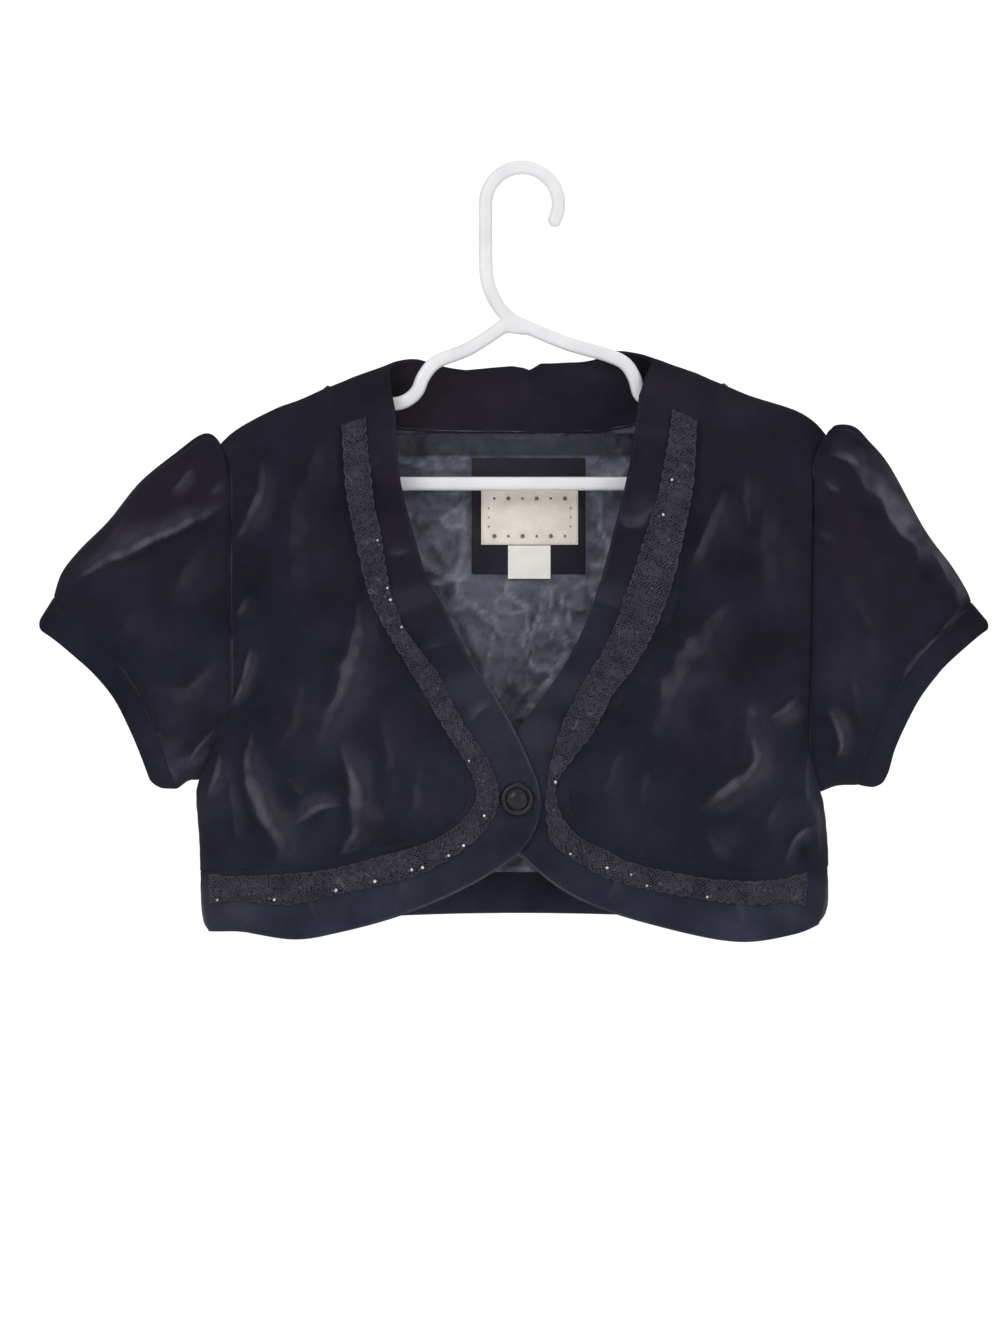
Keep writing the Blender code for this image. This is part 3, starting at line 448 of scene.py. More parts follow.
def smooth_rows(rows, count):
    """Catmull-Rom through the rows of a table, at even steps of length or at given shares of it."""
    rows = np.array(rows, dtype=float)
    padded = np.vstack([2 * rows[0] - rows[1], rows, 2 * rows[-1] - rows[-2]])
    dense = []
    steps = np.linspace(0, 1, 24, endpoint=False)[:, None]
    for i in range(len(rows) - 1):
        a, b, c, d = padded[i:i + 4]
        dense.append(0.5 * (2 * b + (c - a) * steps + (2 * a - 5 * b + 4 * c - d) * steps ** 2
                            + (3 * b - a - 3 * c + d) * steps ** 3))
    dense = np.vstack(dense + [rows[-1:]])
    length = np.concatenate([[0], np.cumsum(np.linalg.norm(np.diff(dense, axis=0), axis=1))])
    where = np.asarray(count) if np.ndim(count) else np.linspace(0, 1, count)
    return np.stack([np.interp(where * length[-1], length, column) for column in dense.T], axis=-1)


def smoothstep(value):
    value = np.clip(value, 0, 1)
    return value * value * (3 - 2 * value)


def round_rise(distance, reach):
    """Quarter ellipse: zero at an edge, one at the given reach."""
    return np.sqrt(1 - (1 - np.clip(distance / reach, 0, 1)) ** 2)


def noise(x, z, scale, seed):
    """Smooth noise between -1 and 1 on a grid of the given size."""
    table = np.random.default_rng(seed).uniform(-1, 1, (64, 64))
    gx, gz = np.asarray(x) / scale + 17.3, np.asarray(z) / scale + 41.7
    ix, iz = np.floor(gx).astype(int), np.floor(gz).astype(int)
    fx, fz = smoothstep(gx - ix), smoothstep(gz - iz)
    low = table[ix % 64, iz % 64] * (1 - fx) + table[(ix + 1) % 64, iz % 64] * fx
    high = table[ix % 64, (iz + 1) % 64] * (1 - fx) + table[(ix + 1) % 64, (iz + 1) % 64] * fx
    return low * (1 - fz) + high * fz


def layered_noise(x, z, scale, seed, layers=3):
    total = 0
    for layer in range(layers):
        total = total + noise(x, z, scale / 2 ** layer, seed + layer) / 2 ** layer
    return total / 1.6


def fold_fields(x, z, folds):
    """Height of the folds, painted highlight along them (soft on one side, crisp on the other), painted shade
    past it.
    """
    x, z = np.broadcast_arrays(np.asarray(x, dtype=float), np.asarray(z, dtype=float))
    shape = x.shape
    x, z = x.ravel(), z.ravel()
    height = np.zeros(x.shape)
    painted_shine = np.zeros(x.shape)
    shade = np.zeros(x.shape)
    for row, (run, width, rise, painted_strength) in enumerate(folds):
        line = smooth_rows(run, 6 * len(run))
        low, high = line.min(axis=0) - 5 * width, line.max(axis=0) + 5 * width
        near = np.nonzero((x > low[0]) & (x < high[0]) & (z > low[1]) & (z < high[1]))[0]
        if not len(near):
            continue
        px, pz = x[near], z[near]
        best = np.full(len(near), np.inf)
        across = np.zeros(len(near))
        along = np.zeros(len(near))
        for i, ((x0, z0), (x1, z1)) in enumerate(zip(line[:-1], line[1:])):
            dx, dz = x1 - x0, z1 - z0
            length = math.hypot(dx, dz)
            share = ((px - x0) * dx + (pz - z0) * dz) / length ** 2
            inside = np.clip(share, 0, 1)
            gap = np.hypot(px - x0 - inside * dx, pz - z0 - inside * dz)
            closer = gap < best
            best = np.where(closer, gap, best)
            side = np.sign((px - x0) * dz - (pz - z0) * dx)
            across = np.where(closer, gap * side, across)
            along = np.where(closer, (i + inside) / (len(line) - 1), along)
        wander = 0.35 * noise(px, pz, 9, 5 + row)
        fade = np.sin(np.pi * np.clip(along, 0.0, 1.0)) ** 0.75
        spread = width * (0.45 + 0.55 * fade) * (1 + 0.25 * noise(px, pz, 14, 205 + row))
        # s crosses the fold in half widths: its soft side, where the highlight is painted, is below zero
        s = across / spread + wander
        profile = np.exp(-np.abs(s) ** 1.8) - 0.3 * np.exp(-((s - 1.6) / 0.6) ** 2)
        height[near] += rise * fade * profile
        # Painted highlight on the soft side with a faint wide halo; painted shade just past the crisp edge
        glow = smoothstep((s + 1.3) / 1.35) * (1 - smoothstep((s - 0.45) / max(0.3, FOLD_EDGE / width)))
        glow = glow * (0.78 + 0.45 * noise(px, pz, 6, 305 + row))
        halo = 0.26 * np.exp(-((s + 1.4) / 1.7) ** 2) * (1 + 0.5 * noise(px, pz, 11, 355 + row))
        painted_shine[near] = np.maximum(painted_shine[near], painted_strength * fade * np.maximum(glow, halo))
        dark = np.exp(-((s - 1.5) / 0.75) ** 2) * (1 + 0.4 * noise(px, pz, 9, 380 + row))
        shade[near] = np.maximum(shade[near], 0.5 * painted_strength * fade * dark)
    return height.reshape(shape), np.clip(painted_shine, 0, 1).reshape(shape), np.clip(shade, 0, 1).reshape(shape)


def hollows(piece, x, z):
    """Painted shade in the dark hollows of a piece."""
    shade = 0
    for centre_x, centre_z, half_width, half_height, tone in HOLLOWS.get(piece, ()):
        reach = ((x - centre_x) / half_width) ** 2 + ((z - centre_z) / half_height) ** 2
        shade = shade + tone * np.exp(-reach * (1 + 0.3 * noise(x, z, 6, 401)))
    return np.clip(shade + 0 * x, 0, 1)


RIDGE_LINE = smooth_rows(RIDGE, 300)
SIDE_LINE = {side: smooth_rows(ARMHOLE[side] + SIDE_SEAM[side][1:], 400) for side in SIDE_SIGN}


def ridge_z(x):
    return np.interp(x, RIDGE_LINE[:, 0], RIDGE_LINE[:, 1])


def side_x(side, z):
    line = SIDE_LINE[side][::-1]
    return np.interp(z, line[:, 1], line[:, 0])


def armhole_depth(side, z):
    top = ARMHOLE[side][0][1]
    bottom = ARMHOLE[side][-1][1]
    t = np.clip((top - z) / (top - bottom), 0, 1)
    return ARMHOLE_DEPTH * (2 * np.sqrt(t * (1 - t))) ** ARMHOLE_POWER


def body_depth(x, z):
    """Half depth of the body at a point of the front view."""
    top = round_rise(ridge_z(x) - z, SHOULDER_FALL)
    nearest = np.where(np.asarray(x) < 0, x - side_x("right", z), side_x("left", z) - x)
    edge = np.where(np.asarray(x) < 0, armhole_depth("right", z), armhole_depth("left", z))
    shift = SEAM_SLOPE * edge / ARMHOLE_DEPTH
    start = round_rise(shift, SIDE_ROUND)
    weight = (round_rise(nearest + shift, SIDE_ROUND) - start) / (1 - start)
    return edge * (1 - weight) + CHEST_DEPTH * top * weight


def side_distance(side, x, z):
    return x - side_x("right", z) if side == "right" else side_x("left", z) - x


def front_y(side, x, z):
    """Outer face of a front panel and its band."""
    sign = SIDE_SIGN[side]
    lap = -sign * FRONT_LAP * smoothstep((LAP_START - sign * x) / LAP_BLEND)
    inner = smoothstep(side_distance(side, x, z) / 12) * smoothstep((ridge_z(x) - z) / 14)
    ripple = 0.45 * layered_noise(x, z, 34, 11)
    return -(body_depth(x, z) + inner * (lap + fold_fields(x, z, FRONT_FOLDS[side])[0] + ripple))


def back_y(x, z):
    """Outer face of the back."""
    nearest = np.minimum(x - side_x("right", z), side_x("left", z) - x)
    inner = round_rise(nearest, 20) * smoothstep((ridge_z(x) - z) / 40)
    ripple = 0.45 * layered_noise(x, z, 34, 23)
    return body_depth(x, z) + inner * (fold_fields(x, z, BACK_FOLDS)[0] + ripple)


def lifted(x, z, height):
    return np.stack([x, height, z], axis=-1)


def unit(vectors):
    return vectors / np.maximum(np.linalg.norm(vectors, axis=-1, keepdims=True), 1e-9)


def height_normals(points, height, outward):
    """Normals of y = height(x, z); at a fold they point along the fold's own outside."""
    step = 0.05
    x, z = points[..., 0], points[..., 2]
    slope_x = (height(x + step, z) - height(x - step, z)) / (2 * step)
    slope_z = (height(x, z + step) - height(x, z - step)) / (2 * step)
    return unit(np.stack([-slope_x, np.ones_like(x), -slope_z], axis=-1)) * outward


def grid_normals(points, wrap):
    """Normals of a grid from its own neighbours."""
    rows = np.gradient(points, axis=0)
    if wrap:
        columns = np.roll(points, -1, axis=1) - np.roll(points, 1, axis=1)
    else:
        columns = np.gradient(points, axis=1)
    return unit(np.cross(columns, rows))


def edge_steps(length, count, fine=(0.0, 0.25, 0.6, 1.1, 1.8, 2.7, 3.8)):
    """Shares of a length, close together near both ends."""
    near = np.array(fine) / length
    middle = np.linspace(near[-1], 1 - near[-1], count)
    return np.concatenate([near[:-1], middle, 1 - near[:-1][::-1]])


def edge_distances(points):
    """Distance along the grid to its first and last row and its first and last column."""
    down = np.linalg.norm(np.diff(points, axis=0), axis=-1)
    down = np.concatenate([np.zeros((1, points.shape[1])), np.cumsum(down, axis=0)])
    across = np.linalg.norm(np.diff(points, axis=1), axis=-1)
    across = np.concatenate([np.zeros((points.shape[0], 1)), np.cumsum(across, axis=1)], axis=1)
    return {"first": down, "last": down[-1:] - down, "left": across, "right": across[:, -1:] - across}


# Meshes

def grid_shell(name, outer, inner, wrap=False, keep=None, inner_slot=1):
    """Closed shell between two grids, with flat walls. Cells that are not kept become holes."""
    rows, columns = outer.shape[:2]
    cells = columns if wrap else columns - 1
    if keep is None:
        keep = np.ones((rows - 1, cells), bool)
    i, j = np.nonzero(keep)
    k = (j + 1) % columns
    count = rows * columns
    a, b, c, d = i * columns + j, i * columns + k, (i + 1) * columns + k, (i + 1) * columns + j
    faces = [np.stack([a, b, c, d], -1), np.stack([d, c, b, a], -1) + count]
    slots = [np.zeros(len(a), int), np.full(len(a), inner_slot)]
    up = np.vstack([np.zeros((1, cells), bool), keep[:-1]])
    low = np.vstack([keep[1:], np.zeros((1, cells), bool)])
    if wrap:
        left, right = np.roll(keep, 1, axis=1), np.roll(keep, -1, axis=1)
    else:
        empty = np.zeros((rows - 1, 1), bool)
        left, right = np.hstack([empty, keep[:, :-1]]), np.hstack([keep[:, 1:], empty])
    smooth = 2 * len(a)
    for neighbour, first, second in ((up, a, b), (low, c, d), (left, d, a), (right, b, c)):
        open_edge = ~neighbour[i, j]
        p, q = first[open_edge], second[open_edge]
        faces.append(np.stack([q, p, p + count, q + count], -1))
        slots.append(np.zeros(len(p), int))
    faces, slots = np.concatenate(faces), np.concatenate(slots)
    vertices = np.concatenate([outer.reshape(-1, 3), inner.reshape(-1, 3)]) * MM
    used, faces = np.unique(faces, return_inverse=True)
    faces = faces.reshape(-1, 4)
    vertices = vertices[used]
    v = vertices[faces]
    volume = np.einsum("ij,ij->i", v[:, 0], np.cross(v[:, 1], v[:, 2]) + np.cross(v[:, 2], v[:, 3])).sum()
    if volume < 0:
        faces = faces[:, ::-1]
    mesh = bpy.data.meshes.new(name)
    mesh.vertices.add(len(vertices))
    mesh.vertices.foreach_set("co", vertices.ravel())
    mesh.loops.add(faces.size)
    mesh.loops.foreach_set("vertex_index", np.ascontiguousarray(faces).ravel().astype(np.int32))
    mesh.polygons.add(len(faces))
    mesh.polygons.foreach_set("loop_start", np.arange(0, faces.size, 4, dtype=np.int32))
    mesh.polygons.foreach_set("material_index", slots.astype(np.int32))
    mesh.polygons.foreach_set("use_smooth", np.arange(len(faces)) < smooth)
    mesh.update(calc_edges=True)
    return mesh, used


def add_values(mesh, name, values):
    layer = mesh.attributes.new(name, "FLOAT", "POINT")
    layer.data.foreach_set("value", np.ascontiguousarray(values, dtype=np.float32))


def finished(work, name, smooth=False):
    mesh = bpy.data.meshes.new(name)
    work.to_mesh(mesh)
    work.free()
    if smooth:
        mesh.shade_smooth()
    return mesh


def put(name, mesh, materials, replaces):
    """Adds a piece to the root body, in place of the nodes it stands for."""
    piece = bpy.data.objects.new(name, mesh)
    for material in materials:
        mesh.materials.append(material)
    bpy.context.scene.collection.objects.link(piece)
    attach(piece, "root")
    if replaces:
        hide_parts(*replaces)
    return piece


# Edges of a grid: the outermost row or column and the one beside it
GRID_EDGE = {
    "first": (np.s_[0], np.s_[1]), "last": (np.s_[-1], np.s_[-2]),
    "left": (np.s_[:, 0], np.s_[:, 1]), "right": (np.s_[:, -1], np.s_[:, -2]),
}


def cloth(node, points, normals, thickness, outside, inside=None,
          wrap=False, free=(), seams=(), painted_shine=0, shade=0):
    """Thin shell of cloth: seam edges turn in under their neighbour, free edges are rounded over."""
    distance = edge_distances(points)
    flat = np.zeros(points.shape[:2])
    painted_shine = painted_shine + flat
    z = points[..., 2]
    # Painted highlight: a thin light line beside the seams listed in SEAM_LIGHT
    for edge, lights in SEAM_LIGHT.get(node, {}).items():
        line = np.exp(-((distance[edge] - 0.6) / 0.6) ** 2)
        line = line * np.clip(0.6 + 0.9 * noise(z, 0 * z, 8, 431), 0, 1)
        for top, bottom, strength in lights:
            ends = smoothstep((top - z) / 7) * smoothstep((z - bottom) / 7)
            painted_shine = np.maximum(painted_shine, strength * line * ends)
    points = points.copy()
    sunk = flat.copy()
    for edge in seams:
        depth = SOFT_DIP if edge in SOFT_SEAMS.get(node, ()) else SEAM_DIP
        sunk = np.maximum(sunk, depth * np.exp(-distance[edge] / SEAM_REACH))
    for edge in seams:
        outermost, beside = GRID_EDGE[edge]
        points[outermost] += unit(points[outermost] - points[beside]) * TUCK
        sunk[outermost] += TUCK_DEPTH
    full = np.ones(flat.shape)
    for edge in free:
        full = np.minimum(full, round_rise(distance[edge] + 0.02, 0.7 * thickness))
    middle = points - normals * (sunk + thickness / 2)[..., None]
    half = normals * (thickness / 2 * full)[..., None]
    mesh, used = grid_shell(node + "_cloth", middle + half, middle - half, wrap)
    # The outer face carries the painted sheen and the shade tone; the inner face carries none
    for layer, values in (("painted_sheen", painted_shine), ("shade", shade + flat)):
        add_values(mesh, layer, np.concatenate([values.ravel(), flat.ravel()])[used])
    return put(node + "_cloth", mesh, (outside, inside or outside), (node,))


# Materials

class Surface:
    """A material, with the texture nodes that feed its shader."""

    def __init__(self, name, settings):
        self.material = bpy.data.materials.new(name)
        self.material.use_nodes = True
        self.nodes = self.material.node_tree.nodes
        self.links = self.material.node_tree.links
        self.shader = self.nodes["Principled BSDF"]
        for socket, value in settings.items():
            self.shader.inputs[socket].default_value = value

    def feed(self, socket, value):
        """Numbers and colours set a socket, another node's output is linked to it."""
        if isinstance(value, (int, float)):
            socket.default_value = value
        elif isinstance(value, tuple):
            socket.default_value = (*value, 1)
        else:
            self.links.new(value, socket)

    def noise(self, scale, detail, roughness, stretch=None):
        where = self.nodes.new("ShaderNodeTexCoord")
        texture = self.nodes.new("ShaderNodeTexNoise")
        texture.inputs["Scale"].default_value = scale
        texture.inputs["Detail"].default_value = detail
        texture.inputs["Roughness"].default_value = roughness
        source = where.outputs["Object"]
        if stretch:
            mapping = self.nodes.new("ShaderNodeMapping")
            mapping.inputs["Scale"].default_value = stretch
            self.links.new(source, mapping.inputs["Vector"])
            source = mapping.outputs["Vector"]
        self.links.new(source, texture.inputs["Vector"])
        return texture.outputs["Fac"]

    def ridges(self, scale, detail, stretch=None):
        """Sharp thin ridges, as on crumpled thin cloth."""
        ridge = self.noise(scale, detail, 0.5, stretch)
        ridge.node.noise_type = "RIDGED_MULTIFRACTAL"
        ridge.node.normalize = True
        ridge.node.inputs["Distortion"].default_value = 0.6
        return ridge

    def ramp(self, source, low, high, start=0.3, end=0.7):
        ramp = self.nodes.new("ShaderNodeValToRGB")
        for element, position, colour in zip(ramp.color_ramp.elements, (start, end), (low, high)):
            element.position = position
            element.color = (*colour, 1)
        self.links.new(source, ramp.inputs["Fac"])
        return ramp.outputs["Color"]

    def math(self, operation, first, second):
        node = self.nodes.new("ShaderNodeMath")
        node.operation = operation
        self.feed(node.inputs[0], first)
        self.feed(node.inputs[1], second)
        return node.outputs["Value"]

    def mix(self, factor, first, second, blend="MIX"):
        node = self.nodes.new("ShaderNodeMix")
        node.data_type = "RGBA"
        node.blend_type = blend
        for name, value in (("Factor", factor), ("A", first), ("B", second)):
            self.feed(node.inputs[name], value)
        return node.outputs["Result"]

    def bump(self, height, strength, distance, before=None):
        bump = self.nodes.new("ShaderNodeBump")
        bump.inputs["Strength"].default_value = strength
        bump.inputs["Distance"].default_value = distance
        self.links.new(height, bump.inputs["Height"])
        if before:
            self.links.new(before, bump.inputs["Normal"])
        self.links.new(bump.outputs["Normal"], self.shader.inputs["Normal"])
        return bump.outputs["Normal"]

    def tinted(self, colour, texture, low, high):
        """Multiplies a colour by a texture's value, between two tints."""
        return self.mix(1.0, colour, self.ramp(texture, low, high), "MULTIPLY")

    def shaded(self, colour, light, dark):
        """Mixes a colour towards a painted highlight by the painted sheen attribute, and towards a dark one
        by the shade attribute.
        """
        streak = self.noise(160, 4, 0.6, (1.0, 1.0, 0.5))
        for name, target in (("painted_sheen", light), ("shade", dark)):
            amount = self.nodes.new("ShaderNodeAttribute")
            amount.attribute_name = name
            factor = amount.outputs["Fac"]
            if name == "painted_sheen":
                factor = self.math("MULTIPLY", factor, self.math("ADD", streak, 0.45))
            colour = self.mix(factor, colour, target)
        return colour

    def height_tint(self, top, bottom):
        """Colour that changes down the garment."""
        where = self.nodes.new("ShaderNodeTexCoord")
        parts = self.nodes.new("ShaderNodeSeparateXYZ")
        self.links.new(where.outputs["Object"], parts.inputs["Vector"])
        share = self.math("MULTIPLY", self.math("ADD", parts.outputs["Z"], 0.45), 4.0)
        return self.ramp(share, bottom, top, 0.0, 1.0)

    def paint(self, colour):
        self.links.new(colour, self.shader.inputs["Base Color"])


def velvet_material(name, top, bottom, painted_highlight_colour):
    """Short pile: dark and soft with uneven tone, lighter where sheen highlights are painted along folds and
    edges, darker where shade is painted.
    """
    look = Surface(name, {"Roughness": 0.9, "Specular IOR Level": 0.08, "Sheen Weight": 0.07,
                          "Sheen Roughness": 0.3, "Sheen Tint": (0.45, 0.44, 0.5, 1)})
    crush = look.noise(24, 4, 0.55)
    pile = look.noise(1500, 2, 0.7)
    cast = look.noise(8, 2, 0.5)
    colour = look.height_tint(top, bottom)
    colour = look.tinted(colour, cast, (0.82, 0.95, 1.00), (1.12, 1.02, 1.02))
    colour = look.tinted(colour, crush, (0.60, 0.61, 0.65), (1.42, 1.37, 1.34))
    # Painted highlights and painted shade, from the mesh's attributes
    colour = look.shaded(colour, painted_highlight_colour, (0.004, 0.004, 0.006))
    look.paint(look.tinted(colour, pile, (0.74, 0.74, 0.76), (1.26, 1.25, 1.25)))
    soft = look.bump(crush, 0.2, 0.002)
    look.bump(pile, 0.45, 0.0003, soft)
    return look.material


def satin_material():
    """Thin crumpled lining with soft reflections, cloudy patches of painted light and shade, and painted
    reflections along its creases.
    """
    look = Surface("satin", {"Roughness": 0.4, "Specular IOR Level": 0.28, "Anisotropic": 0.4})
    cloudy = look.noise(75, 4, 0.6)
    thread = look.noise(900, 2, 0.6, (1.0, 1.0, 0.12))
    crease = look.ridges(60, 3)
    fine = look.ridges(120, 3, (1.0, 1.0, 0.7))
    # Cloudy patches of painted light and shade over the crumples
    colour = look.ramp(cloudy, (0.017, 0.019, 0.032), (0.062, 0.066, 0.096), 0.36, 0.60)
    # Painted reflections: lighter lines along the ridged creases
    for ridge, start, amount, light in ((crease, 0.56, 0.7, (0.135, 0.140, 0.180)),
                                        (fine, 0.66, 0.4, (0.150, 0.155, 0.200))):
        line = look.ramp(ridge, (0.0, 0.0, 0.0), (1.0, 1.0, 1.0), start, 0.80)
        colour = look.mix(look.math("MULTIPLY", line, amount), colour, light)
    look.paint(look.shaded(colour, (0.17, 0.175, 0.220), (0.006, 0.007, 0.014)))
    soft = look.bump(crease, 0.45, 0.0016)
    soft = look.bump(cloudy, 0.5, 0.002, soft)
    look.bump(thread, 0.2, 0.0002, soft)
    return look.material


def lace_material():
    """Matt yarn, crinkled across the strip."""
    look = Surface("lace", {"Roughness": 0.85, "Specular IOR Level": 0.15, "Sheen Weight": 0.05})
    yarn = look.noise(1100, 3, 0.7)
    crinkle = look.ridges(170, 3)
    patch = look.noise(90, 3, 0.5)
    colour = look.ramp(patch, (0.0240, 0.0240, 0.0350), (0.0420, 0.0405, 0.0560))
    colour = look.tinted(colour, crinkle, (0.66, 0.66, 0.68), (1.75, 1.72, 1.70))
    look.paint(look.tinted(colour, yarn, (0.60, 0.60, 0.62), (1.42, 1.4, 1.4)))
    soft = look.bump(crinkle, 0.5, 0.0012)
    look.bump(yarn, 0.6, 0.0004, soft)
    return look.material


def label_material(name, colour, stain):
    """Woven taffeta label: fine warp and weft with a little unevenness."""
    look = Surface(name, {"Roughness": 0.7, "Sheen Weight": 0.05})
    warp = look.noise(1400, 1, 0.5, (1.0, 1.0, 0.2))
    weft = look.noise(1400, 1, 0.5, (0.2, 1.0, 1.0))
    cloudy = look.noise(120, 3, 0.5)
    look.paint(look.ramp(cloudy, stain, colour, 0.3, 0.65))
    look.bump(look.math("ADD", warp, weft), 0.5, 0.0002)
    return look.material


def plain_material(name, colour, roughness, metallic=0.0, coat=0.0, grain=300, depth=0.0001, specular=0.5):
    look = Surface(name, {"Roughness": roughness, "Metallic": metallic, "Coat Weight": coat,
                          "Specular IOR Level": specular})
    texture = look.noise(grain, 3, 0.5)
    low = tuple(0.9 * value for value in colour)
    look.paint(look.ramp(texture, low, colour))
    look.bump(texture, 0.2, depth)
    return look.material


# Velvets: colour at the shoulders, colour at the hem, colour of the painted sheen highlights
VELVET_CLOTH = velvet_material("velvet", (0.0082, 0.0071, 0.0122), (0.0100, 0.0116, 0.0200),
                               (0.058, 0.055, 0.068))
VELVET_BAND = velvet_material("velvet_band", (0.0080, 0.0070, 0.0112), (0.0155, 0.0172, 0.0275),
                              (0.056, 0.054, 0.068))
# Lighter copy of the band velvet for the collar's inner face: painted light where that face lies in shadow
VELVET_INSIDE_PAINTED_LIGHT = velvet_material("velvet_inside_painted_light", (0.0115, 0.0104, 0.0152), (0.0155, 0.0172, 0.0275),
                                (0.056, 0.054, 0.068))
VELVET_PATCH = velvet_material("velvet_patch", (0.0150, 0.0148, 0.0200), (0.0170, 0.0170, 0.0230),
                               (0.05, 0.05, 0.06))
SATIN_CLOTH = satin_material()
LACE_CLOTH = lace_material()
LABEL_CLOTH = label_material("label_cloth", (0.58, 0.545, 0.49), (0.51, 0.475, 0.415))
TAB_CLOTH = label_material("tab_cloth", (0.62, 0.60, 0.575), (0.57, 0.55, 0.515))
MOTIF_THREAD = plain_material("motif_thread", (0.13, 0.09, 0.08), 0.8)
PALE_THREAD = plain_material("pale_thread", (0.45, 0.42, 0.37), 0.8)
DARK_THREAD = plain_material("dark_thread", (0.014, 0.014, 0.019), 0.8)
BUTTON_GLOSS = plain_material("button_gloss", (0.003, 0.003, 0.005), 0.34,
                              grain=140, depth=0.0002, specular=0.26)
HANGER_PLASTIC = plain_material("hanger_plastic", (0.54, 0.54, 0.555), 0.42,
                                coat=0.08, grain=60, depth=0.0002, specular=0.4)
SEQUIN_FOIL = plain_material("sequin_foil", (0.42, 0.42, 0.46), 0.18, metallic=1.0, coat=0.3)
# Dark, dull copy of the sequins for those that catch no light: painted shade
SEQUIN_PAINTED_SHADE = plain_material("sequin_painted_shade", (0.012, 0.012, 0.018), 0.5)


# Body panels

def coons(top, bottom, first, last, across, down):
    """Patch between four curves of the front view; across and down are the grid's steps."""
    u, v = across[None, :, None], down[:, None, None]
    t, b = smooth_rows(top, across)[None], smooth_rows(bottom, across)[None]
    f, s = smooth_rows(first, down)[:, None], smooth_rows(last, down)[:, None]
    corners = (1 - u) * (1 - v) * f[0] + u * (1 - v) * s[0] + (1 - u) * v * f[-1] + u * v * s[-1]
    return (1 - v) * t + v * b + (1 - u) * f + u * s - corners


def shoulder_fold(side, steps):
    """Top edge of a panel along the shoulder, from the armhole to the collar."""
    outer = ARMHOLE[side][0]
    neck = COLLAR[COLLAR_BACK_FIRST if side == "right" else COLLAR_BACK_LAST]
    x = outer[0] + (neck[0] - outer[0]) * np.linspace(0, 1, steps)
    z = ridge_z(x)
    z[0] = outer[1]
    return np.stack([x, z], axis=-1)


def puckers(distance, along, reach, height, wave, seed):
    """Short uneven ripples square to a seam."""
    phase = along / wave * 2 * math.pi + 2.2 * noise(along, 0 * along, 14, seed)
    size = 0.6 + 0.4 * noise(along, 0 * along + 9, 23, seed + 1)
    return height * size * np.sin(phase) * np.exp(-distance / reach) * (1 - np.exp(-distance / 1.2))


def seam_puckers(distance, *rows):
    """Puckers of several seams: the seam, the edge its length runs from, then how they look."""
    return sum(puckers(distance[seam], distance[start], *look) for seam, start, *look in rows)


def front_panel(side):
    """From the shoulder fold to the band seam; columns run from the side to the middle."""
    fold = shoulder_fold(side, 12)
    band = [row[:2] for row in FRONT_BAND[side]]
    over = COLLAR[COLLAR_BACK_FIRST - 1] if side == "right" else COLLAR[COLLAR_BACK_LAST + 1]
    hem = band[CORNER_ROW:][::-1]
    hem[0] = (float(side_x(side, hem[0][1])), hem[0][1])
    edge = [tuple(fold[-1]), over[:2]] + band[:CORNER_ROW + 1]
    outer = [tuple(p) for p in SIDE_LINE[side][::16] if p[1] > hem[0][1] + 4] + [hem[0]]
    plan = coons(fold, hem, outer, edge, edge_steps(*GRID["front across"]), edge_steps(*GRID["front down"]))
    x, z = plan[..., 0].copy(), plan[..., 1].copy()
    x[:, 0] = side_x(side, z[:, 0])
    points = lifted(x, z, front_y(side, x, z))
    points[0, :, 1] = 0
    normals = height_normals(points, lambda a, b: front_y(side, a, b), -1)
    normals[0, :, 1] = 0
    normals = unit(normals)
    distance = edge_distances(points)
    ripple = seam_puckers(distance, ("right", "first", 9, 0.5, 11, 31), ("last", "left", 10, 0.6, 12, 37),
                          ("left", "first", 6, 0.35, 10, 41))
    points = points + normals * ripple[..., None]
    _, painted_shine, shade = fold_fields(x, z, FRONT_FOLDS[side])
    shade = np.maximum(shade, hollows(side + "_front", x, z))
    return cloth(side + "_front", points, normals, VELVET, VELVET_CLOTH, SATIN_CLOTH,
                 seams=("first", "last", "left", "right"), painted_shine=painted_shine, shade=shade)


